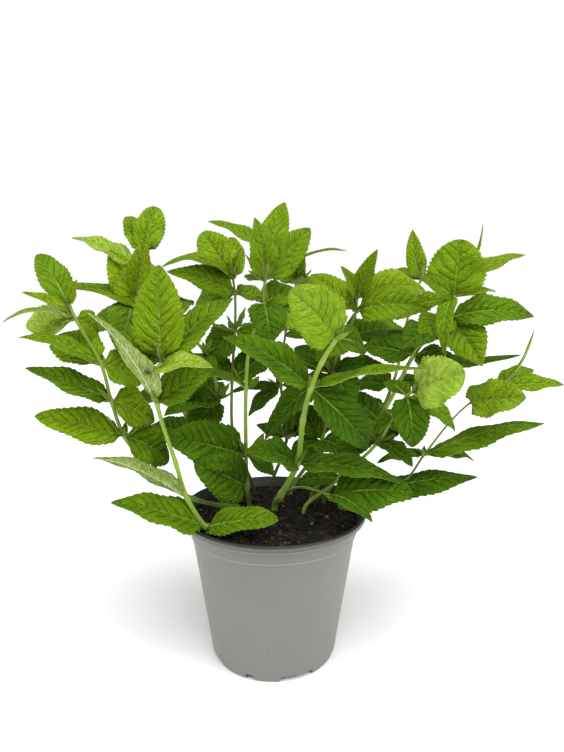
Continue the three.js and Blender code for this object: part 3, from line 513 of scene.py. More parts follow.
leafForm = dict(
    teeth=12, lastTooth=0.95,
    toothSteps=(0, 0.18, 0.36, 0.54, 0.72, 0.9), toothRise=(0, 0.18, 0.38, 0.6, 0.84, 1),
    toothDepth=0.08, toothEdge=5,  # share of the half width, and the power that keeps it to the edge
    across=(0.05, 0.12, 0.24, 0.37, 0.5, 0.62, 0.74, 0.86, 0.94, 1),  # columns of each half
    bladeStart=0.09,  # share of the length taken by the leaf's stalk
    bladeBegins=(0.03, 0.13),  # where the stalk widens to the blade
    stalkRows=4, tipRise=(0, 0.7, 1, 1),  # rows of the stalk, and the edge's run out to the tip
    stalkHalf=0.75, tipHalf=0.12, thickness=0.4,
    widest=0.72, widestFull=0.12,  # power on the length: a low one is widest near the stalk
    blunt=0.85, bluntFull=0.35,  # power on the outline: a low one has a blunter tip
    fold=14,  # degrees that each half stands up from flat
    foldEase=0.35,  # how much of it is lost at the edge
    veinGap=6.5, pairs=(3, 8),  # mm between lateral veins, within fewest and most pairs
    firstVein=0.08,  # its place, share of the length
    lean=2.3, leanPower=1.1,  # how many vein spacings a vein runs forward on its way to the edge
    veinSway=0.22, swayWaves=(1.9, 5, 0.4),  # waves along the blade, their shift by leaf and by half
    relief=0.7, wrinkle=0.5,  # mm that the blade swells between its veins, and more on an old leaf
    swellPower=0.7, reliefEnds=6,  # a low power swells broader, a high one ends nearer the edge
    ribFlat=1.3,  # mm beside the midrib that stay flat
    fullHalf=10, cap=0.9,  # half width in mm that has all the relief, and the most of the puckers
    ridges=0.17, fineShare=0.7,  # mm of the finer puckers between the veins, share of the finest
    ridgeAge=(0.4, 1.4),  # how strong they are on a young leaf, and how much more on an old one
    ridgeWaves=((1.55, 0.9, 5), (-0.35, 1.7, 7), (2.6, -1.3, 3), (0, 2.4, 11)),  # along, across, phase
    groove=0.4, grooveHalf=0.8,  # the sunken midrib on top
    ribDepth=0.45, ribHalf=0.6, ribEnd=1.1,  # the midrib's ridge under the blade
    wave=0.055,  # rise and fall of the edge, share of the width
    edgeWaves=(1.6, 1.2, 7.3, 0.37),  # waves along it, more by leaf, their shift by leaf and by half
    droop=0.03, droopFrom=0.55, leastDroop=0.3,  # how far the tip hangs, share of the length
    twist=14, twistAbout=0.3,  # most degrees that a blade turns along its length
)


tuftForm = dict(
    teeth=5, toothSteps=(0, 0.3, 0.6, 0.9), toothRise=(0, 0.3, 0.65, 1), across=(0.1, 0.3, 0.55, 0.8, 1),
)


def bladeGrid(form):
    # The rows along a leaf (its stalk, each tooth's steps and the run out to the tip), how far
    # the edge stands out at each, and the columns across.
    teeth, half = form["teeth"], np.array(form["across"])
    start, end = leafForm["bladeStart"], leafForm["lastTooth"]
    stalk = np.linspace(0, start, leafForm["stalkRows"], endpoint=False)
    tip = np.linspace(end, 1, len(leafForm["tipRise"]))
    steps = np.arange(teeth)[:, None] + np.array(form["toothSteps"])
    toothed = (start + steps * (end - start) / teeth).ravel()
    along = np.concatenate([stalk, toothed, tip])
    rise = np.concatenate([np.ones(len(stalk)), np.tile(form["toothRise"], teeth), leafForm["tipRise"]])
    return dict(along=along, rise=rise, across=np.concatenate([-half[::-1], [0], half]))


fineGrid, tuftGrid = bladeGrid(leafForm), bladeGrid(tuftForm)


def leafFrames(root, tip, turn):
    # chord from root to tip, and the upper face's direction: turned from the viewer by "turn"
    # degrees towards the sky, or towards the sky alone where turn isn't a number
    viewer = np.array([view["aside"], -view["distance"], view["height"]])
    chord = tip - root
    length = np.linalg.norm(chord, axis=-1, keepdims=True)
    chord = chord / length
    toViewer = squared(viewer - (root + tip) / 2, chord)
    above = np.cross(chord, toViewer)
    above = np.where(above[:, 2:] < 0, -above, above)
    angle = np.radians(turn)[:, None]
    sky = squared(np.broadcast_to([0.0, 0, 1], chord.shape), chord)
    face = np.where(np.isnan(angle), sky, toViewer * np.cos(angle) + above * np.sin(angle))
    return length, chord, face


def leafSurface(leaves, grid):
    # Every leaf of a stem as a grid: rows run from stalk to tip, columns across the blade.
    # A point is the bowed midrib + across * half width along the blade's side, lifted off the
    # chord plane by the fold, the swell between veins |sin(pi * vein count)|, the fine puckers,
    # the groove of the midrib, the wave of the edge and the droop of the tip.
    form = leafForm
    rows, columns = grid["along"][None, :, None], grid["across"][None, None, :]
    far = np.abs(columns)
    keys = ("wide", "arch", "bend", "fold", "full", "age", "random")
    wide, arch, bend, fold, full, age, chance = (leaves[key][:, None, None] for key in keys)
    length, chord, face = leafFrames(leaves["root"], leaves["tip"], leaves["turn"])
    length, chord, face = length[:, :, None], chord[:, None, None], face[:, None, None]
    side = np.cross(face, chord)
    bow, slope = 4 * rows * (1 - rows), 4 * (1 - 2 * rows)

    blade = smooth(*form["bladeBegins"], rows)
    oval = np.sin(pi * np.clip(rows, 1e-6, 1 - 1e-6) ** (form["widest"] + form["widestFull"] * full))
    oval = np.clip(oval, 0, 1) ** (form["blunt"] - form["bluntFull"] * full)
    half = wide / 2 * oval * blade + form["stalkHalf"] * (1 - blade)
    half = np.maximum(half, form["tipHalf"])
    notch = form["toothDepth"] * (1 - grid["rise"][None, :, None]) * blade * far ** form["toothEdge"]
    reach = columns * half * (1 - notch)

    spread = np.abs(reach)
    fold = np.radians(fold)
    lift = spread * np.sin(fold) * (1 - form["foldEase"] * far ** 2)
    inner = 1 - far ** form["reliefEnds"]  # there is no relief at the very edge
    pairs = np.clip(length / form["veinGap"], *form["pairs"])
    count = pairs * (rows - form["firstVein"]) / (1 - form["firstVein"])
    count = count - form["lean"] * oval * far ** form["leanPower"]
    waves, byLeaf, byHalf = form["swayWaves"]
    stray = rows * waves + chance * byLeaf + np.where(columns < 0, byHalf, 0)
    count = count + form["veinSway"] * np.sin(2 * pi * stray)
    besideRib = 1 - np.exp(-(spread / form["ribFlat"]) ** 2)
    swell = np.abs(np.sin(pi * count)) ** form["swellPower"] * besideRib * inner
    broad = half / form["fullHalf"]
    lift = lift + (form["relief"] + form["wrinkle"] * age) * swell * blade * broad
    turn = 2 * pi * chance
    coarse, coarseCross, fine, fineCross = (
        np.sin(2 * pi * (count * along + far * across) + phase * turn)
        for along, across, phase in form["ridgeWaves"])
    ridge = coarse * coarseCross + form["fineShare"] * fine * fineCross
    shallow = np.minimum(broad, form["cap"]) * blade * inner
    young, older = form["ridgeAge"]
    lift = lift + form["ridges"] * (young + older * age) * ridge * shallow
    lift = lift - form["groove"] * np.exp(-(spread / form["grooveHalf"]) ** 2) * blade
    waves, more, byLeaf, byHalf = form["edgeWaves"]
    phase = 2 * pi * (chance * byLeaf + np.where(columns < 0, byHalf, 0))
    ripple = np.sin(2 * pi * rows * (waves + more * chance) + phase)
    lift = lift + form["wave"] * half * 2 * far ** 2 * ripple * blade
    hang = smooth(form["droopFrom"], 1, rows) ** 2
    lift = lift - form["droop"] * length * (form["leastDroop"] + chance) * hang

    tangent = unit(chord + face * (arch * slope)[..., None] + side * (bend * slope)[..., None])
    sideways = unit(np.cross(face, tangent))
    turned = np.radians(form["twist"]) * (chance * 2 - 1) * (rows - form["twistAbout"])
    turned = np.broadcast_to(turned, lift.shape)[..., None]
    normal = np.cross(tangent, sideways)
    sideways, normal = (sideways * np.cos(turned) + normal * np.sin(turned),
                        normal * np.cos(turned) - sideways * np.sin(turned))
    centre = leaves["root"][:, None, None] + chord * (rows * length)[..., None]
    centre = centre + face * (arch * bow * length)[..., None]
    centre = centre + side * (bend * bow * length)[..., None]
    upper = centre + sideways * (reach * np.cos(fold))[..., None] + normal * lift[..., None]
    rib = form["ribDepth"] * np.exp(-(spread / form["ribHalf"]) ** 2) * (form["ribEnd"] - rows)
    under = upper - normal * (form["thickness"] + rib)[..., None]

    bladeMap = np.stack(np.broadcast_arrays(count, columns), -1)
    placeMap = np.stack(np.broadcast_arrays(reach, rows * length), -1)
    return upper, under, bladeMap, placeMap


def sheetFaces(rows, columns):
    # upper grid, lower grid turned over from the same corner, so that both split along the
    # same diagonal and never cross, and the wall round their edges
    top = gridFaces(rows, columns)
    size = rows * columns
    index = np.arange(size).reshape(rows, columns)
    edge = np.concatenate([index[:-1, 0], index[-1, :-1], index[:0:-1, -1], index[0, :0:-1]])
    after = np.roll(edge, -1)
    wall = np.stack([after, edge, edge + size, after + size], -1)
    return np.concatenate([top, top[:, [0, 3, 2, 1]] + size, wall])


def leafMesh(leaves, grid, paler=1.0):
    upper, under, bladeMap, placeMap = leafSurface(leaves, grid)
    count, rows, columns = upper.shape[:3]
    points = np.stack([upper, under], 1).reshape(-1, 3)
    doubled = [np.stack([each, each], 1).reshape(-1, 2) for each in (bladeMap, placeMap)]
    faces = sheetFaces(rows, columns)
    faces = (faces[None] + np.arange(count)[:, None, None] * 2 * rows * columns).reshape(-1, 4)
    tone = np.zeros((count, 2, rows * columns, 4))
    tone[..., 0] = leaves["age"][:, None, None]
    tone[..., 1] = leaves["random"][:, None, None]
    tone[:, 1, :, 2] = paler
    tone[..., 3] = np.tile(np.repeat(grid["along"], columns), (count, 2, 1))
    return points, faces, doubled, tone.reshape(-1, 4)


stemForm = dict(
    rootDepth=12, firstRise=4,  # mm below and above the soil where it stands upright
    stepLength=2.2, sides=16,  # mm between the rings of the tube, points round it
    tipTaper=0.55,
    corner=0.17,  # how far the square's corners stand out
    swelling=0.28, swellingLength=2.4,  # at the joints
    paleLength=5,  # mm either way that a joint is paler
    stouter=1.1, slimmer=dict(stem_right_low=0.7, stem_right_front=0.85),
)


# how old each stem's youngest leaves look, and how brown the stem is, 0 to 1; stem_back's leaves look older
# partly as painted shade
shades = dict(
    stem_front_left=(0.3, 0), stem_left=(0, 0.35), stem_back_left=(0.2, 0.4), stem_back_mid=(0.3, 0.9),
    stem_centre=(0.3, 0.15), stem_front_mid=(0, 0), stem_right_front=(0, 0), stem_right_low=(0.1, 0.85),
    stem_low_right=(0.5, 0.35), stem_right_back=(0.15, 0.1), stem_back_right=(0.3, 0.3),
    stem_back=(0.45, 0.9), stem_far_left=(0.4, 0.7), stem_far_right=(0.3, 0.6),
)


def curveThrough(points, stepLength):
    # A smooth line through the points: between two of them a cubic whose slopes come from the
    # three chords around, each weighted by the square root of its length (centripetal).
    ends = np.concatenate([[2 * points[0] - points[1]], points, [2 * points[-1] - points[-2]]])
    chord = np.diff(ends, axis=0)
    gap = np.sqrt(np.linalg.norm(chord, axis=1))[:, None]
    before, here, after = gap[:-2], gap[1:-1], gap[2:]
    first, second, third = chord[:-2], chord[1:-1], chord[2:]
    leave = (first / before - (first + second) / (before + here) + second / here) * here
    reach = (second / here - (second + third) / (here + after) + third / after) * here
    line, shares = [points[:1]], [[0.0]]
    for span, (start, end) in enumerate(zip(points[:-1], points[1:])):
        steps = max(3, round(float(np.linalg.norm(end - start)) / stepLength))
        t = (np.arange(steps) + 1)[:, None] / steps
        bend = 3 * (end - start) - 2 * leave[span] - reach[span]
        close = 2 * (start - end) + leave[span] + reach[span]
        line.append(start + leave[span] * t + bend * t ** 2 + close * t ** 3)
        shares.append(span + t[:, 0])
    return np.concatenate(line), np.concatenate(shares)


def soilTop(x, y):
    # a low crown that falls to the edge with the square of the radius, with uneven lumps on it
    form = soilForm
    share = np.minimum(1, np.hypot(x, y) / (potForm["collarTopRadius"] - 1))
    lumps = np.sin(x * 0.21 + 1.3) * np.cos(y * 0.17 - 0.6)  # waves of 30 to 48 mm
    lumps = lumps + 0.7 * np.sin(x * 0.09 - y * 0.13)
    return form["crown"] + (form["edge"] - form["crown"]) * share ** 2 + form["bump"] * lumps


def stemRoute(stem):
    # straight up out of its hole in the soil, then from joint to joint
    x, y = stem["foot"]
    ground, depth = float(soilTop(x, y)), stemForm["rootDepth"]
    low = [(x, y, ground + rise) for rise in (-depth, -depth / 2, stemForm["firstRise"])]
    return np.array(low + [tuple(seen(joint["at"], joint["near"])) for joint in stem["joints"]])


def tube(line, radius, sides, corner=0.0):
    # At each point of the line a ring of radius * (1 - corner * cos(4 angle)), in the plane
    # square to the line there.
    tangent = unit(np.gradient(line, axis=0))
    normal = squared(np.broadcast_to([0.0, 1, 0], line.shape), tangent)
    side = np.cross(tangent, normal)
    angle = np.arange(sides) * 2 * pi / sides
    out = radius[:, None] * (1 - corner * np.cos(4 * angle))[None]
    ring = line[:, None] + (out * np.cos(angle))[..., None] * normal[:, None]
    return ring + (out * np.sin(angle))[..., None] * side[:, None]


def tubeFaces(rings, sides):
    # the wall, and the rings of points that close its two ends
    caps = [np.arange(sides)[::-1], np.arange(sides) + (rings - 1) * sides]
    return gridFaces(rings, sides, closed=True)[:, ::-1], caps


def stemMesh(name, stem):
    # the tube along the stem's route: thinner towards the tip, swollen at each joint
    form = stemForm
    route = stemRoute(stem)
    line, share = curveThrough(route, form["stepLength"])
    share = share / (len(route) - 1)
    radius = stem["thick"] / 2 * (1 - form["tipTaper"] * share)
    distance = np.linalg.norm(line[:, None] - route[3:][None], axis=-1).min(1)
    radius = radius * (1 + form["swelling"] * np.exp(-(distance / form["swellingLength"]) ** 2))
    radius = radius * form["slimmer"].get(name, form["stouter"])
    ring = tube(line, radius, form["sides"], form["corner"])
    rings, sides = ring.shape[:2]
    faces, caps = tubeFaces(rings, sides)
    tone = np.zeros((rings, sides, 4))
    tone[..., 0] = share[:, None]
    tone[..., 1] = shades[name][1]
    tone[..., 2] = np.exp(-(distance / form["paleLength"]) ** 2)[:, None]
    walk = np.concatenate([[0], np.cumsum(np.linalg.norm(np.diff(line, axis=0), axis=1))])
    around = np.tile(np.arange(sides) / sides, (rings, 1))
    stemMap = np.stack([around, np.repeat(walk[:, None], sides, 1)], -1).reshape(-1, 2)
    return ring.reshape(-1, 3), faces, (0 * stemMap, stemMap), tone.reshape(-1, 4), caps


shoots = dict(  # tufts of small leaves: sizes and the lowest place in mm
    tipSize=11, sideSize=(8, 15), share=0.75, lowest=108, youngest=-0.15, wide=0.46, arch=-0.08,
    pairs=((1, 0.75), (0.62, 1.2)),  # size and steepness of the outer and the inner pair
    sizes=(0.85, 1.15), spread=(0.55, 0.8),  # how much the leaves differ in size and open out
    lean=0.8, younger=0.45,  # how far a side tuft leans, and how much younger than its joint it is
    paler=0.25,  # how much of the underside's colour shows underneath
    larger=dict(stem_back=1.8, stem_back_mid=1.5, stem_centre=1.5, stem_back_right=1.6, stem_far_right=1.4),
)


ageing = dict(power=0.8, uneven=0.12)


# the leaves that look younger or older than their height says, partly painted light: an age below 0 paints
# a leaf the pale green of one in the light; (joint, leaf) of a stem
leafAgesAndPaintedLight = dict(
    stem_front_left={(0, 0): 0.62, (0, 1): 0.7, (4, 0): -0.1, (5, 0): 0.55, (5, 1): 0.7},
    stem_front_mid={(3, 0): 0.7, (3, 2): 1, (5, 0): -0.04, (5, 1): 1},
    stem_right_front={(3, 0): 1, (3, 2): 0.9, (4, 0): -0.25},
    stem_low_right={(2, 0): 0.95, (2, 1): 0.9},
    stem_left={(5, 0): 0.75, (7, 0): -0.15, (8, 0): 0.4},
    stem_centre={(1, 0): 0.9, (4, 1): 0.9, (5, 0): 0.1},
    stem_back_left={(4, 0): 0.8, (4, 1): 0.2, (4, 2): 0, (5, 0): -0.2},
    stem_right_back={(2, 0): 1},
    stem_right_low={(4, 0): 0, (5, 2): 0.4},
)


def shootLeaves(root, axis, size, age, draw):
    # a tuft of four small leaves in crossed pairs: tips lie along the axis and out from it
    out = squared(draw.normal(size=3), axis)
    for way, (share, rise) in zip((out, np.cross(axis, out)), shoots["pairs"]):
        for away in (way, -way):
            long = size * share * draw.uniform(*shoots["sizes"])
            tip = root + long * unit(axis * rise + away * draw.uniform(*shoots["spread"]))
            yield dict(root=root, tip=tip, wide=long * shoots["wide"], arch=shoots["arch"], age=age)


def leafTable(found, draw):
    # all leaves as one array for each property
    standard = dict(turn=np.nan, arch=0, bend=0, fold=leafForm["fold"], full=0)
    gathered = [standard | leaf | dict(random=draw.random()) for leaf in found]
    keys = ("root", "tip", "wide", "turn", "arch", "bend", "fold", "full", "age", "random")
    return {key: np.array([leaf[key] for leaf in gathered], float) for key in keys}


def gatherLeaves(name, stem, draw):
    # A stem's leaves and the small leaves of its tufts. Age runs from 1 at the lowest joint to
    # the stem's own youngest at the tip with (share of the way still to go) ^ 0.8, give or take.
    route, found, tufts = stemRoute(stem), [], []
    youngest, last = shades[name][0], len(stem["joints"]) - 1
    for index, joint in enumerate(stem["joints"]):
        root = seen(joint["at"], joint["near"])
        age = 1 - (1 - youngest) * (1 - (1 - index / last) ** ageing["power"])
        for order, leaf in enumerate(joint["leaves"]):
            older = age + draw.uniform(-ageing["uneven"], ageing["uneven"])
            older = leafAgesAndPaintedLight.get(name, {}).get((index, order), older)
            found.append(leaf | dict(age=older, root=root, tip=seen(leaf["tip"], leaf["near"])))
        axis = unit(route[index + 3] - route[index + 2])
        if index == last:
            tufts += shootLeaves(root, axis, shoots["tipSize"], shoots["youngest"], draw)
        elif joint["leaves"] and draw.random() < shoots["share"] and root[2] > shoots["lowest"]:
            lean = unit(axis + shoots["lean"] * squared(draw.normal(size=3), axis))
            size = draw.uniform(*shoots["sideSize"]) * shoots["larger"].get(name, 1)
            tufts += shootLeaves(root, lean, size, max(shoots["youngest"], age - shoots["younger"]), draw)
    return leafTable(found, draw), leafTable(tufts, draw)


def makeFoliage(name, stem, draw, materials):
    # the stem and all its leaves in one mesh: material 0 on leaves, 1 on the stem
    leaves, tufts = gatherLeaves(name, stem, draw)
    stalk = stemMesh(name, stem)
    parts = [leafMesh(leaves, fineGrid), leafMesh(tufts, tuftGrid, shoots["paler"]), stalk[:4]]
    starts = np.cumsum([0] + [len(part[0]) for part in parts])
    faces = np.concatenate([part[1] + start for part, start in zip(parts, starts)])
    maps = [(label, np.concatenate([part[2][index] for part in parts]))
            for index, label in enumerate(("blade", "place"))]
    caps = [cap + starts[2] for cap in stalk[4]]
    slots = np.arange(len(faces) + len(caps)) >= len(parts[0][1]) + len(parts[1][1])
    points, tone = (np.concatenate([part[index] for part in parts]) for index in (0, 3))
    piece = makeMesh("leafy_" + name, points, faces, caps, maps, tone, slots)
    return place(piece, "foliage", name, materials=materials)


leafFinish = dict(
    # pale is the palest young green, on the tips of the shoots and, as a painted highlight, on leaves set
    # below age 0 where light falls on them
    pale=srgb(166, 192, 76), young=srgb(130, 160, 26), middle=srgb(110, 144, 16), old=srgb(60, 98, 4),
    underside=srgb(156, 174, 98), underVein=srgb(206, 216, 160),
    # the dark vein colour is painted shade in the vein creases, the cell-top colour a painted highlight on
    # the swells between veins
    veinLight=srgb(160, 188, 80), paintedCreaseShade=srgb(12, 58, 4), paintedRidgeHighlight=srgb(142, 174, 66),
    shader=dict(IOR=1.4, Specular_IOR_Level=0.22, Specular_Tint=(0.9, 1, 0.3, 1), Subsurface_Weight=0.15,
                Subsurface_Scale=0.001, Subsurface_Radius=(0.8, 1, 0.2)),
    fine=900, coarse=60,  # grain, in waves a metre
    blotches=0.5,  # how much the age differs over one leaf
    greens=((-0.35, 0, "young"), (0, 0.45, "middle"), (0.4, 1, "old")),  # ages they come in between
    hues=(0.492, 0.508), lights=(1.12, 0.9),  # from leaf to leaf
    # how strongly each shows: from and to an age, or a share of the length, and how much there
    net=(0, 1, 0.25, 0.42), creaseShadeByAge=(-0.3, 1, 0.2, 0.95), cells=(0.1, 0.9, 0.06, 0.17),
    midrib=(0.2, 0.8, 0.6, 0.15), sideVeins=0.8,
    underNet=0.22, underVeins=(("Side Veins", 0.7), ("Midrib", 0.8)),
    roughness=0.45, rougher=0.2,  # rougher: by its grain, and again underneath
    relief=0.0009, cellHeight=0.9, grainHeight=0.2, veinDepth=0.4,  # m, and shares of it
)


def leafTop(tree, age, tint, coarse, veins, alongLeaf):
    # the upper face: pale, young, middle and old green by age and in blotches, the pale green partly a
    # painted highlight on leaves that catch the light, a slightly different hue for each leaf, painted
    # shade in the vein creases and a painted highlight on the swells between them, both more with age, and
    # a light midrib
    look = leafFinish
    youngness = calc(tree, "ADD", age, times(tree, calc(tree, "SUBTRACT", coarse, 0.5), look["blotches"]))
    colour = look["pale"]
    for low, high, name in look["greens"]:
        colour = blendColour(tree, ramp(tree, youngness, low, high), colour, look[name])
    links = (("Color", colour), ("Hue", ramp(tree, tint, 0, 1, *look["hues"])))
    value = ("Value", ramp(tree, tint, 1, 0, *look["lights"][::-1]))
    colour = addNode(tree, "ShaderNodeHueSaturation", *links, value).outputs[0]
    # painted shade: the vein creases and the fine net darkened, more with age
    net = times(tree, veins["Net"], ramp(tree, age, *look["net"]))
    creaseShade = calc(tree, "MAXIMUM", net, times(tree, veins["Side Veins"], look["sideVeins"]))
    creaseShade = times(tree, creaseShade, ramp(tree, age, *look["creaseShadeByAge"]))
    colour = blendColour(tree, creaseShade, colour, look["paintedCreaseShade"])
    # painted highlight: the swells between the fine veins made paler, more with age
    raised = times(tree, veins["Cells"], ramp(tree, age, *look["cells"]))
    colour = blendColour(tree, raised, colour, look["paintedRidgeHighlight"])
    midrib = times(tree, veins["Midrib"], ramp(tree, alongLeaf, *look["midrib"]))
    return blendColour(tree, midrib, colour, look["veinLight"])


def leafUnder(tree, age, veins):
    # the underside: greyer, greener with age, with raised pale veins
    look = leafFinish
    colour = blendColour(tree, ramp(tree, age, 0, 1, 0, 0.5), look["underside"], look["middle"])
    raised = times(tree, veins["Net"], look["underNet"])
    for label, share in look["underVeins"]:
        raised = calc(tree, "MAXIMUM", raised, times(tree, veins[label], share))
    return blendColour(tree, raised, colour, look["underVein"])


def makeLeafMaterial():
    # tone: red is the leaf's age, green its own tint, blue 1 underneath, alpha runs to the tip
    look = leafFinish
    material, tree, shader = newMaterial("mint_leaf", **look["shader"])
    age, tint, underside, alongLeaf = toneParts(tree)
    blade = addNode(tree, "ShaderNodeUVMap", uv_map="blade").outputs[0]
    spot = addNode(tree, "ShaderNodeUVMap", uv_map="place").outputs[0]
    veins = useGroup(tree, veinNet, ("Blade", blade), ("Place", spot), ("Shift", tint))
    fine, coarse = useGrain(tree, look["fine"], look["coarse"])[:2]
    top = leafTop(tree, age, tint, coarse, veins, alongLeaf)
    colour = blendColour(tree, underside, top, leafUnder(tree, age, veins))
    shine = calc(tree, "MULTIPLY_ADD", fine, look["rougher"], look["roughness"])
    shine = calc(tree, "MULTIPLY_ADD", underside, look["rougher"], shine)
    height = calc(tree, "MULTIPLY_ADD", veins["Cells"], look["cellHeight"],
                  times(tree, fine, look["grainHeight"]))
    height = calc(tree, "SUBTRACT", height, times(tree, veins["Side Veins"], look["veinDepth"]))
    dressShader(tree, shader, colour, shine, height, 1.0, look["relief"])
    return material


stemFinish = dict(
    green=srgb(126, 160, 48), pale=srgb(158, 184, 84), brown=srgb(70, 64, 26),
    shader=dict(IOR=1.42, Subsurface_Weight=0.15, Subsurface_Scale=0.0015, Subsurface_Radius=(0.8, 1, 0.3)),
    fine=700, coarse=45, streaks=(60, 0.12, 1),  # streaks: how often round the stem, along it
    # ramps: from, to, and the share at each end
    streakPale=(0.45, 0.75, 0, 0.4), jointPale=0.35, brownPale=(0, 1, 1, 0.15),
    footBrown=(0.55, 0.15), footShare=0.35,  # heights between which the foot browns, and how much
    brownShare=0.8, uneven=(0.3, 0.65, 0.55, 1.1),
    roughness=0.4, rougher=0.2, relief=0.0003, grainHeight=0.3,
)


def makeStemMaterial():
    # tone: red is the height up the stem, green how brown it is, blue 1 at a joint
    look = stemFinish
    material, tree, shader = newMaterial("mint_stem", **look["shader"])
    height, brown, joint = toneParts(tree)[:3]
    spot = addNode(tree, "ShaderNodeUVMap", uv_map="place").outputs[0]
    fine, coarse = useGrain(tree, look["fine"], look["coarse"])[:2]
    along = addNode(tree, "ShaderNodeMapping", ("Vector", spot), ("Scale", look["streaks"])).outputs[0]
    streaks = noise(tree, along, 1.0, 3.0)["Fac"]
    low = times(tree, ramp(tree, height, *look["footBrown"]), look["footShare"])
    browner = calc(tree, "ADD", times(tree, brown, look["brownShare"]), low)
    browner = times(tree, browner, ramp(tree, coarse, *look["uneven"]), clamp=True)
    colour = blendColour(tree, browner, look["green"], look["brown"])
    streaked = ramp(tree, streaks, *look["streakPale"])
    paler = calc(tree, "MULTIPLY_ADD", joint, look["jointPale"], streaked)
    paler = times(tree, paler, ramp(tree, brown, *look["brownPale"]))
    colour = blendColour(tree, paler, colour, look["pale"])
    shine = calc(tree, "MULTIPLY_ADD", fine, look["rougher"], look["roughness"])
    relief = calc(tree, "ADD", streaks, times(tree, fine, look["grainHeight"]))
    dressShader(tree, shader, colour, shine, relief, 0.5, look["relief"])
    return material


potForm = dict(
    height=98, rimRadius=60, lipRadius=57.6, collarTop=91.5, collarTopRadius=54.9,
    stepHeight=84, stepRadius=53.9, stepDepth=0.8, heelHeight=3, heelRadius=41.1,
    footRadius=39.8, wall=0.9, floor=1, floorRing=20, sides=144,
    wideAt=-68, narrowAt=-110.5, wideSpan=31, narrowSpan=8,  # drain pockets, degrees
    pocketSide=0.35, pocketEdge=0.15,  # half a side's run in degrees, and a corner's in mm
    sideSteps=(-0.36, 0, 0.36), pocketFront=0.2,  # degrees of its close steps, half its front's run in mm
    pocketRadius=32, pocketHeight=4, pocketSkin=1, holeRadius=3, holeAt=36.5,
    bead=0.22,  # the fine ridges at the step and the collar
    wallPoints=((43.3, 24), (46.5, 50), (50, 70)),
    straight=(10, 80),  # heights between which the wall is one straight line
    wobble=0.12, steady=0.6, wobbleSizes=(25, 70),  # unevenness of the thin sheet
    wobbleFrom=(6, 20), wobbleTo=(78, 83), wobbleWaves=12,  # heights where it sets in and ends
    blackFrom=6,  # points before the top of the rim's line at which the black inside begins
)


def roundedLine(corners, steps=4):
    # corners (radius, height, bend): each corner is rounded off by a curve that starts and
    # ends "bend" mm before and after it: (1-t)^2 start + 2 t (1-t) corner + t^2 end
    corners = np.array(corners, float)
    line = [corners[:1, :2]]
    t = np.linspace(0, 1, steps + 1)[:, None]
    for before, here, after in zip(corners[:-2, :2], corners[1:-1], corners[2:, :2]):
        corner, bend = here[:2], here[2]
        start = corner + unit(before - corner) * bend
        end = corner + unit(after - corner) * bend
        curve = (1 - t) ** 2 * start + 2 * t * (1 - t) * corner + t ** 2 * end
        line.append(curve if bend else corner[None])
    return np.concatenate(line + [corners[-1:, :2]])


def pockets():
    # middle and span of each drain pocket, degrees: a wide and a narrow one every quarter
    for quarter in range(4):
        yield potForm["wideAt"] + quarter * 90, potForm["wideSpan"]
        yield potForm["narrowAt"] + quarter * 90, potForm["narrowSpan"]


def pocketShare(angle, grow=0.0):
    # 1 inside a drain pocket and 0 outside, with a steep side; grow widens it, in mm
    side, share = potForm["pocketSide"], np.zeros_like(angle)
    wider = np.degrees(grow / potForm["pocketRadius"])
    for at, span in pockets():
        away = np.abs((np.degrees(angle) - at + 180) % 360 - 180)
        share = np.maximum(share, 1 - smooth(span / 2 + wider - side, span / 2 + wider + side, away))
    return share


def potAngles():
    # even steps round the pot, and close ones at the sides of each pocket
    form = potForm
    edges = [at + hand * (span / 2 + skin) + step
             for at, span in pockets()
             for skin in (0, np.degrees(form["pocketSkin"] / form["pocketRadius"]))
             for hand in (-1, 1)
             for step in form["sideSteps"]]
    even = np.arange(form["sides"]) * 360 / form["sides"]
    return np.radians(np.unique(np.round(np.concatenate([even, np.mod(edges, 360)]), 3)))


def potProfile():
    # the wall's line outside, from the foot up, and inside, from the rim down
    form = potForm
    wall, top, floor, ring, bead = (form[key] for key in ("wall", "height", "floor", "floorRing", "bead"))
    lip, rim = form["lipRadius"], form["rimRadius"]
    collar, collarWide = form["collarTop"], form["collarTopRadius"]
    step, stepWide, narrow = form["stepHeight"], form["stepRadius"], form["stepRadius"] - form["stepDepth"]
    heel, heelWide, foot = form["heelHeight"], form["heelRadius"], form["footRadius"]
    pocket, skin, edge = form["pocketRadius"], form["pocketSkin"], form["pocketEdge"]
    outside = roundedLine([
        (ring, 0, 0), (pocket - edge, 0, 0), (pocket + edge, 0, 0), (foot, 0, 0.8), (heelWide, heel, 1.4),
        *((*point, 0) for point in form["wallPoints"]),
        (narrow, step - 0.9, 0.4), (stepWide + bead, step - 0.2, 0.25), (stepWide, step + 0.8, 0.4),
        (collarWide - 0.1, collar - 0.9, 0.5), (collarWide + 0.3 + bead, collar - 0.1, 0.3),
        (collarWide + 0.9, collar + 0.7, 0.3), (lip, collar + 1.2, 0.8),
        (rim, collar + 2.6, 0.9), (rim, top - 0.4, 0.9), (lip + 0.9, top, 0.5),
    ])
    low, high = form["straight"]
    onWall = (outside[:, 1] > low) & (outside[:, 1] < high)
    rise = outside[onWall, 1] - heel
    outside[onWall, 0] = heelWide + rise * ((narrow - heelWide) / (step - heel))
    inside = roundedLine([
        (lip + 0.9, top, 0), (lip + 0.2, top - 0.9, 0.5), (lip - wall, top - 2.4, 0.8),
        (collarWide - wall, collar + 0.3, 0.8), (stepWide - wall, step + 0.3, 0.3),
        (narrow - wall, step - 0.5, 0.3), (heelWide - wall, heel + 3, 0.6), (foot - wall, floor, 0.6),
        (pocket - skin + edge, floor, 0), (pocket - skin - edge, floor, 0), (ring, floor, 0),
    ])
    return outside, inside


def turned(radius, angle, height):
    # points at a radius and an angle round the Z axis
    return np.stack([radius * np.cos(angle), radius * np.sin(angle), height], -1)


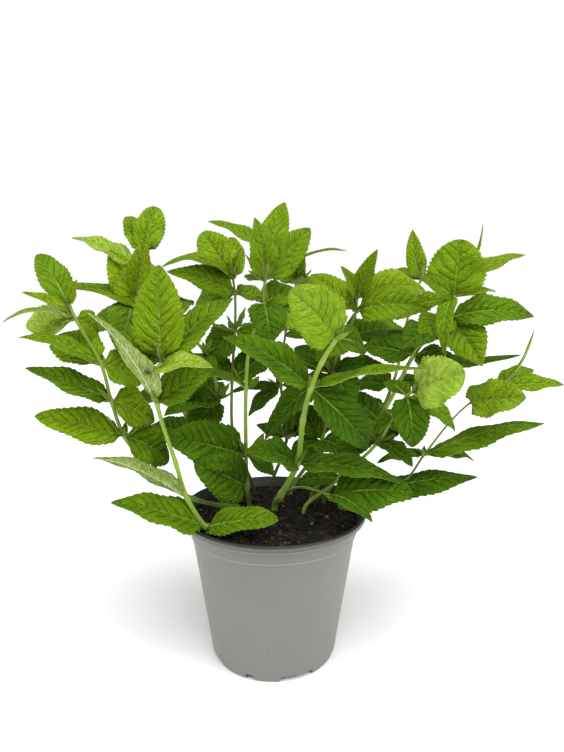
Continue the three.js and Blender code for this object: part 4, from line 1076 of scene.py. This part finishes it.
def makePot(materials):
    # The profile turned about Z, material 0 outside and 1 from the rim's bend inwards. Under
    # and beside the pockets each point is lifted to the roof: max(height, roof * share).
    form = potForm
    skin, rise, pocket = form["pocketSkin"], form["pocketHeight"], form["pocketRadius"]
    front = form["pocketFront"]
    outside, inside = potProfile()
    profile = np.concatenate([outside, inside[1:]])
    order = np.arange(len(profile))
    angle = potAngles()
    radius, height = (np.repeat(profile[:, [index]], len(angle), 1) for index in (0, 1))
    below = rise * pocketShare(angle) * smooth(pocket - front, pocket + front, radius)
    pocket = pocket - skin
    above = (rise + skin) * pocketShare(angle, skin) * smooth(pocket - front, pocket + front, radius)
    height = np.maximum(height, np.where(order[:, None] < len(outside), below, above))
    free = smooth(*form["wobbleFrom"], height) * (1 - smooth(*form["wobbleTo"], height))
    where = turned(radius, angle, height)
    swell = ripples(where, seeds["potSheet"], form["wobbleSizes"], form["wobbleWaves"])
    radius = radius - form["wobble"] * (form["steady"] + (1 - form["steady"]) * swell) * free
    points = turned(radius, angle, height).reshape(-1, 3)
    faces, caps = tubeFaces(len(profile), len(angle))
    black = np.repeat(order[:-1] >= len(outside) - form["blackFrom"], len(angle))
    slots = np.concatenate([black, [False, True]])
    pot = makeMesh("thermoformed_pot", points, faces, caps, slots=slots)
    drill(pot)
    return place(pot, "pot_plastic", "pot", materials=materials)


def repeated(faces, caps, count, step):
    # the faces and caps of a piece and of its copies, each with "step" points
    starts = np.arange(count) * step
    return ((faces[None] + starts[:, None, None]).reshape(-1, faces.shape[1]),
            [cap + start for start in starts for cap in caps])


def drill(pot):
    # the round drain hole in the roof of each wide pocket, cut by one Boolean that is applied
    sides, quarters, low, high = 24, 4, -1, 8
    line = np.array([[0.0, 0, low], [0, 0, high]])
    ring = tube(line, np.full(2, float(potForm["holeRadius"])), sides)
    angle = np.radians(potForm["wideAt"] + 90 * np.arange(quarters))
    middle = turned(potForm["holeAt"], angle, 0 * angle)
    points = (ring.reshape(-1, 3) + middle[:, None]).reshape(-1, 3)
    cutter = makeMesh("drill", points, *repeated(*tubeFaces(2, sides), quarters, 2 * sides))
    cut = pot.modifiers.new("drain holes", "BOOLEAN")
    cut.operation, cut.solver, cut.object = "DIFFERENCE", "EXACT", cutter
    done = bpy.data.meshes.new_from_object(pot.evaluated_get(bpy.context.evaluated_depsgraph_get()))
    pot.modifiers.clear()
    pot.data = done
    bpy.data.objects.remove(cutter)


potFinish = dict(
    outside=srgb(116, 115, 111), inside=srgb(27, 27, 24), ridge=srgb(160, 159, 154), dirt=srgb(58, 50, 42),
    rim=0.42, rimShadeFrom=(0.9, 1.6),  # how much painted shade darkens the rolled rim, mm above the collar
    ridgeHighlight=0.45, ridgeHighlightHalf=(0.2, 0.55), ridgeUp=0.2,  # how strong the painted highlight along the ridges is, and its edges in mm
    fine=2200, coarse=26, cloud=0.72, cloudRange=0.5, cloudShare=0.12,  # cloud: the darkest of it
    specks=110, speckSize=(0.035, 0.065),  # their cells a metre, radius as a share of a cell
    speckShare=0.8, speckPick=(0.5, 0.52), speckRelief=2.0,  # about half the cells have one
    roughness=0.34, rougher=0.16, bump=0.25, relief=0.0002,
)


def bandColour(tree, metres, body):
    # the rolled rim is darkened with painted shade, and the ridges at the collar and the step get a pale
    # painted highlight
    collar = potForm["collarTop"]
    height = addNode(tree, "ShaderNodeSeparateXYZ", (0, metres)).outputs["Z"]
    height = times(tree, height, 1 / millimetre)
    # painted shade: the rolled rim darkened towards black
    starts, full = potFinish["rimShadeFrom"]
    rim = ramp(tree, height, collar + starts, collar + full, 0, potFinish["rim"])
    body = blendColour(tree, rim, body, (0, 0, 0, 1))
    # a pale painted highlight along the ridges at the step and the collar
    for ridge in (potForm["stepHeight"], collar + potFinish["ridgeUp"]):
        away = calc(tree, "ABSOLUTE", calc(tree, "SUBTRACT", height, ridge))
        share = ramp(tree, away, *potFinish["ridgeHighlightHalf"], potFinish["ridgeHighlight"], 0)
        body = blendColour(tree, share, body, potFinish["ridge"])
    return body


def makePotMaterial(name, colour, banded):
    look = potFinish
    material, tree, shader = newMaterial(name, IOR=1.46)
    fine, coarse, metres = useGrain(tree, look["fine"], look["coarse"])
    cloud = times(tree, calc(tree, "SUBTRACT", coarse, 0.5), look["cloudRange"])
    darker = tuple(look["cloud"] * c for c in colour[:3]) + (1,)
    body = blendColour(tree, calc(tree, "ADD", cloud, look["cloudShare"], clamp=True), colour, darker)
    if banded:
        body = bandColour(tree, metres, body)
    links = (("Vector", metres), ("Scale", look["specks"]))
    spots = addNode(tree, "ShaderNodeTexVoronoi", *links).outputs
    pick = addNode(tree, "ShaderNodeSeparateColor", (0, spots["Color"])).outputs["Red"]
    speck = ramp(tree, spots["Distance"], *look["speckSize"], look["speckShare"], 0)
    speck = times(tree, speck, ramp(tree, pick, *look["speckPick"]))
    body = blendColour(tree, speck, body, look["dirt"])
    shine = calc(tree, "MULTIPLY_ADD", coarse, look["rougher"], look["roughness"])
    relief = calc(tree, "ADD", fine, times(tree, speck, look["speckRelief"]))
    dressShader(tree, shader, body, shine, relief, look["bump"], look["relief"])
    return material


soilForm = dict(
    edge=91, crown=95.5, bump=1.1,  # height at the wall and in the middle, size of the lumps
    gap=0.35, rings=64, sides=160, firstRing=0.02, ringPower=0.8,  # rings lie closer near the pot
    lumps=(5, 14), fineLumps=(1.8, 4), lumpRise=0.5, fineRise=0.3, sunk=0.3,  # widths and rises
    calmEdge=4, calm=0.35,  # mm beside the pot where the lumps are lower, and their share there
    pocketFrom=30.8, floorRings=(31.2, 30.4, 18),  # radii of the floor round the drain pockets
    crumbs=1100, crumbSize=(0.5, 2.3), crumbLevels=(-60, -20, 20, 60), crumbSides=6,
    push=(0.65, 1.25), stretch=(0.7, 1.3), lean=0.6, flat=0.8,  # how uneven a crumb is
    crumbHalf=0.6, crumbLift=(0.2, 0.15), ringTurn=0.4,  # share of its size, how high it lies
    crumbEdge=2.2, fibreEdge=9,  # mm that they keep from the pot
    fibres=60, fibreLength=(4, 13), fibreThick=(0.12, 0.36), fibreRise=(0.1, 1.3), fibreBow=0.25,
    fibreLift=0.5, fibreTaper=0.5, fibrePoints=9, fibreSides=5,
)


def makeSoil(materials):
    # Rings run from the middle out over the surface, down the wall and in over the floor.
    # The surface is the low crown plus fine ripples; the floor rises over the drain pockets.
    form, pot = soilForm, potForm
    gap, inset, floor = form["gap"], pot["wall"] + form["gap"], pot["floor"] + form["gap"]
    angle = np.arange(form["sides"]) * 2 * pi / form["sides"]
    edge = pot["collarTopRadius"] - inset - gap
    surface = np.linspace(form["firstRing"], 1, form["rings"]) ** form["ringPower"] * edge
    side = np.array([
        (pot["stepRadius"] - pot["stepDepth"] - inset, pot["stepHeight"] - 0.6),
        (pot["heelRadius"] - inset, pot["heelHeight"] + 3), (pot["footRadius"] - inset, floor),
        *((ring, floor) for ring in form["floorRings"]),
    ])
    radius = np.concatenate([surface, side[:, 0]])[:, None] + 0 * angle
    points = turned(radius, angle, 0 * radius)
    lumps = form["lumpRise"] * np.abs(ripples(points[..., :2], seeds["lumps"], form["lumps"]))
    lumps = lumps + form["fineRise"] * ripples(points[..., :2], seeds["fineLumps"], form["fineLumps"])
    free = 1 - smooth(edge - form["calmEdge"], edge, radius)
    share = form["calm"] + (1 - form["calm"]) * free
    top = soilTop(points[..., 0], points[..., 1]) + (lumps - form["sunk"]) * share
    low = np.repeat(side[:, 1:], len(angle), 1)
    height = np.concatenate([top[:len(surface)], low])
    roof = (pot["pocketHeight"] + pot["pocketSkin"] + gap) * pocketShare(angle, pot["pocketSkin"] + gap)
    points[..., 2] = np.maximum(height, roof * (radius > form["pocketFrom"]))
    piece = makeMesh("potting_mix", points.reshape(-1, 3), *tubeFaces(len(radius), len(angle)))
    return place(piece, "soil", "soil", materials=materials)


def makeCrumbs(materials):
    # Lumps of the mix lying on its surface: rings of a small ball, with each point pushed in
    # or out at random, flattened and turned.
    form = soilForm
    draw = np.random.default_rng(seeds["crumbs"])
    count, rings, sides = form["crumbs"], len(form["crumbLevels"]), form["crumbSides"]
    edge = potForm["collarTopRadius"] - potForm["wall"] - form["crumbEdge"]
    away, around = edge * draw.random(count) ** 0.5, draw.uniform(0, 2 * pi, count)
    x, y = away * np.cos(around), away * np.sin(around)
    size = np.exp(draw.uniform(*np.log(form["crumbSize"]), count))
    lift, more = form["crumbLift"]
    middle = np.stack([x, y, soilTop(x, y) + lift + more * size], -1)
    level = np.radians(form["crumbLevels"])[:, None]
    turn = np.arange(sides) * 2 * pi / sides + np.arange(rings)[:, None] * form["ringTurn"]
    ball = turned(np.cos(level), turn, np.sin(level) + 0 * turn)
    push = draw.uniform(*form["push"], (count, rings, sides, 1))
    push = push * draw.uniform(*form["stretch"], (count, 1, 1, 3))
    lump = ball[None] * push * size[:, None, None, None] * form["crumbHalf"]
    spin = draw.uniform(0, 2 * pi, (count, 1, 1))
    lean = draw.uniform(-form["lean"], form["lean"], (count, 1, 1))
    lump = np.stack([
        lump[..., 0] * np.cos(spin) - lump[..., 1] * np.sin(spin),
        lump[..., 0] * np.sin(spin) + lump[..., 1] * np.cos(spin),
        lump[..., 2] * form["flat"] + lump[..., 0] * lean,
    ], -1)
    points = (lump + middle[:, None, None]).reshape(-1, 3)
    faces, caps = repeated(*tubeFaces(rings, sides), count, rings * sides)
    tone = np.zeros((count, rings * sides, 4))
    tone[..., 0] = draw.random((count, 1))
    tone[..., 1] = draw.random((count, 1))
    piece = makeMesh("crumbs", points, faces, caps, tone=tone.reshape(-1, 4))
    return place(piece, "soil", materials=materials)


def makeFibres(materials):
    # Bits of root and coir: thin tubes along a bent line over the surface:
    # start + heading * t + bow * cos(pi t) sideways, with a low rise in the middle.
    form = soilForm
    draw = np.random.default_rng(seeds["fibres"])
    edge = potForm["collarTopRadius"] - potForm["wall"] - form["fibreEdge"]
    count, rings, sides = form["fibres"], form["fibrePoints"], form["fibreSides"]
    points, tone = [], []
    for _ in range(count):
        away, around = edge * draw.random() ** 0.5, draw.uniform(0, 2 * pi)
        heading, length = draw.uniform(0, 2 * pi), draw.uniform(*form["fibreLength"])
        t = np.linspace(-0.5, 0.5, rings)
        bow = draw.uniform(-form["fibreBow"], form["fibreBow"]) * length * np.cos(pi * t)
        x = away * cos(around) + length * t * cos(heading) - bow * sin(heading)
        y = away * sin(around) + length * t * sin(heading) + bow * cos(heading)
        z = soilTop(x, y) + form["fibreLift"] + draw.uniform(*form["fibreRise"]) * np.cos(pi * t)
        radius = draw.uniform(*form["fibreThick"]) * (1 - form["fibreTaper"] * np.abs(t))
        points.append(tube(np.stack([x, y, z], -1), radius, sides).reshape(-1, 3))
        tone.append(np.tile([1.0, draw.random(), 1, 1], (rings * sides, 1)))
    faces, caps = repeated(*tubeFaces(rings, sides), count, rings * sides)
    piece = makeMesh("fibres", np.concatenate(points), faces, caps, tone=np.concatenate(tone))
    return place(piece, "soil", materials=materials)


soilFinish = dict(
    dark=srgb(8, 6, 5), brown=srgb(48, 34, 26), fibre=srgb(88, 68, 50), pale=srgb(128, 124, 112),
    fine=900, coarse=170, flecks=420, relief=0.0012,
    browner=(0.48, 0.8), fleckPick=(0.88, 0.9), fleckShare=0.5,
    bitFine=1500, bitCoarse=400, bitRelief=0.0004, bitBump=0.8,  # on crumbs and fibres
    bitBrown=(0.3, 1), palePick=(0.975, 0.98), fibreShare=(0.25, 0.9), bitDark=(0.35, 0.7, 0.45, 0),
    rough=(0.3, 0.7, 0.75, 1), bitRough=(0.3, 0.7, 0.7, 1),
)


def makeSoilMaterial():
    look = soilFinish
    material, tree, shader = newMaterial("potting_mix", IOR=1.4)
    fine, coarse, metres = useGrain(tree, look["fine"], look["coarse"])
    colour = blendColour(tree, ramp(tree, coarse, *look["browner"]), look["dark"], look["brown"])
    links = (("Vector", metres), ("Scale", look["flecks"]))
    flecks = addNode(tree, "ShaderNodeTexVoronoi", *links).outputs["Color"]
    pick = addNode(tree, "ShaderNodeSeparateColor", (0, flecks)).outputs["Green"]
    fleck = times(tree, ramp(tree, pick, *look["fleckPick"]), look["fleckShare"])
    colour = blendColour(tree, fleck, colour, look["fibre"])
    relief = calc(tree, "ADD", fine, coarse)
    dressShader(tree, shader, colour, ramp(tree, fine, *look["rough"]), relief, 1.0, look["relief"])
    return material


def makeCrumbMaterial():
    # tone: red picks how light a bit is, green its kind, blue is 1 on a fibre
    look = soilFinish
    material, tree, shader = newMaterial("soil_bits", IOR=1.4)
    light, kind, isFibre = toneParts(tree)[:3]
    fine, coarse = useGrain(tree, look["bitFine"], look["bitCoarse"])[:2]
    colour = blendColour(tree, ramp(tree, light, *look["bitBrown"]), look["dark"], look["brown"])
    colour = blendColour(tree, ramp(tree, kind, *look["palePick"]), colour, look["pale"])
    fibre = times(tree, isFibre, ramp(tree, kind, 0.0, 1.0, *look["fibreShare"]))
    colour = blendColour(tree, fibre, colour, look["fibre"])
    colour = blendColour(tree, ramp(tree, coarse, *look["bitDark"]), colour, look["dark"])
    shine = ramp(tree, fine, *look["bitRough"])
    dressShader(tree, shader, colour, shine, fine, look["bitBump"], look["bitRelief"])
    return material


leafMaterial, stemMaterial = makeLeafMaterial(), makeStemMaterial()
print("leaf and stem materials made")

draw = np.random.default_rng(seeds["plant"])
for name, stem in stems.items():
    piece = makeFoliage(name, stem, draw, (leafMaterial, stemMaterial))
    print("grown:", piece.name, len(piece.data.polygons), "faces")

potOutside = makePotMaterial("pot_grey", potFinish["outside"], True)
potInside = makePotMaterial("pot_black", potFinish["inside"], False)
makePot((potOutside, potInside))
print("pot formed")

soilBits = makeCrumbMaterial()
makeSoil((makeSoilMaterial(),))
makeCrumbs((soilBits,))
makeFibres((soilBits,))
print("pot filled")


studio = dict(
    lens=28.72, sensor=36,
    floor=srgb(250, 250, 250), floorHalf=3.0,  # m
    backdrop=1.02, skyLight=0.4,  # white to look at, softer as a light
)


lamps = dict(  # "size" is an area lamp's width in m, or a sun's spread in degrees
    top=dict(kind="SUN", at=(0.15, -0.5, 1.3), aim=(0, 0, 0.1), size=60, power=3.1),
    left=dict(kind="AREA", at=(-1.2, -0.7, 0.8), aim=(0, 0, 0.16), size=0.6, power=8),
    right=dict(kind="AREA", at=(1.2, -0.6, 0.8), aim=(0, 0, 0.16), size=0.6, power=8),
)


def standAt(name, data, location, rotation):
    stand = bpy.data.objects.new(name, data)
    stand.location, stand.rotation_euler = location, rotation
    bpy.context.scene.collection.objects.link(stand)
    return stand


def makeStudio():
    corners = np.array([(-1, -1, 0), (1, -1, 0), (1, 1, 0), (-1, 1, 0)]) * studio["floorHalf"] / millimetre
    floor = makeMesh("floor", corners, np.array([[0, 1, 2, 3]]))
    floor.data.materials.append(newMaterial("pale_floor", Base_Color=studio["floor"], Roughness=0.8)[0])
    world = bpy.data.worlds.new("studio")
    world.use_nodes = True
    background = next(n for n in world.node_tree.nodes if n.type == "BACKGROUND")
    seenDirectly = addNode(world.node_tree, "ShaderNodeLightPath").outputs["Is Camera Ray"]
    strength = ramp(world.node_tree, seenDirectly, 0, 1, studio["skyLight"], studio["backdrop"])
    world.node_tree.links.new(strength, background.inputs[1])
    background.inputs[0].default_value = (1, 1, 1, 1)
    bpy.context.scene.world = world
    for name, lamp in lamps.items():
        light = bpy.data.lights.new(name, lamp["kind"])
        light.energy = lamp["power"]
        if lamp["kind"] == "SUN":
            light.angle = radians(lamp["size"])
        else:
            light.size = lamp["size"]
        x, y, z = np.array(lamp["at"]) - np.array(lamp["aim"])
        standAt(name, light, lamp["at"], (np.arctan2(np.hypot(x, y), z), 0, np.arctan2(x, -y)))


def makeCamera():
    camera = bpy.data.cameras.new("camera")
    camera.lens, camera.sensor_width = studio["lens"], studio["sensor"]
    spot = np.array((view["aside"], -view["distance"], view["height"])) * millimetre
    stand = standAt("camera", camera, spot, (radians(90 - view["pitch"]), 0, 0))
    bpy.context.scene.camera = stand
    bpy.context.scene.view_settings.view_transform = "Standard"


makeStudio()
makeCamera()
print("studio set")

bpy.context.view_layer.update()
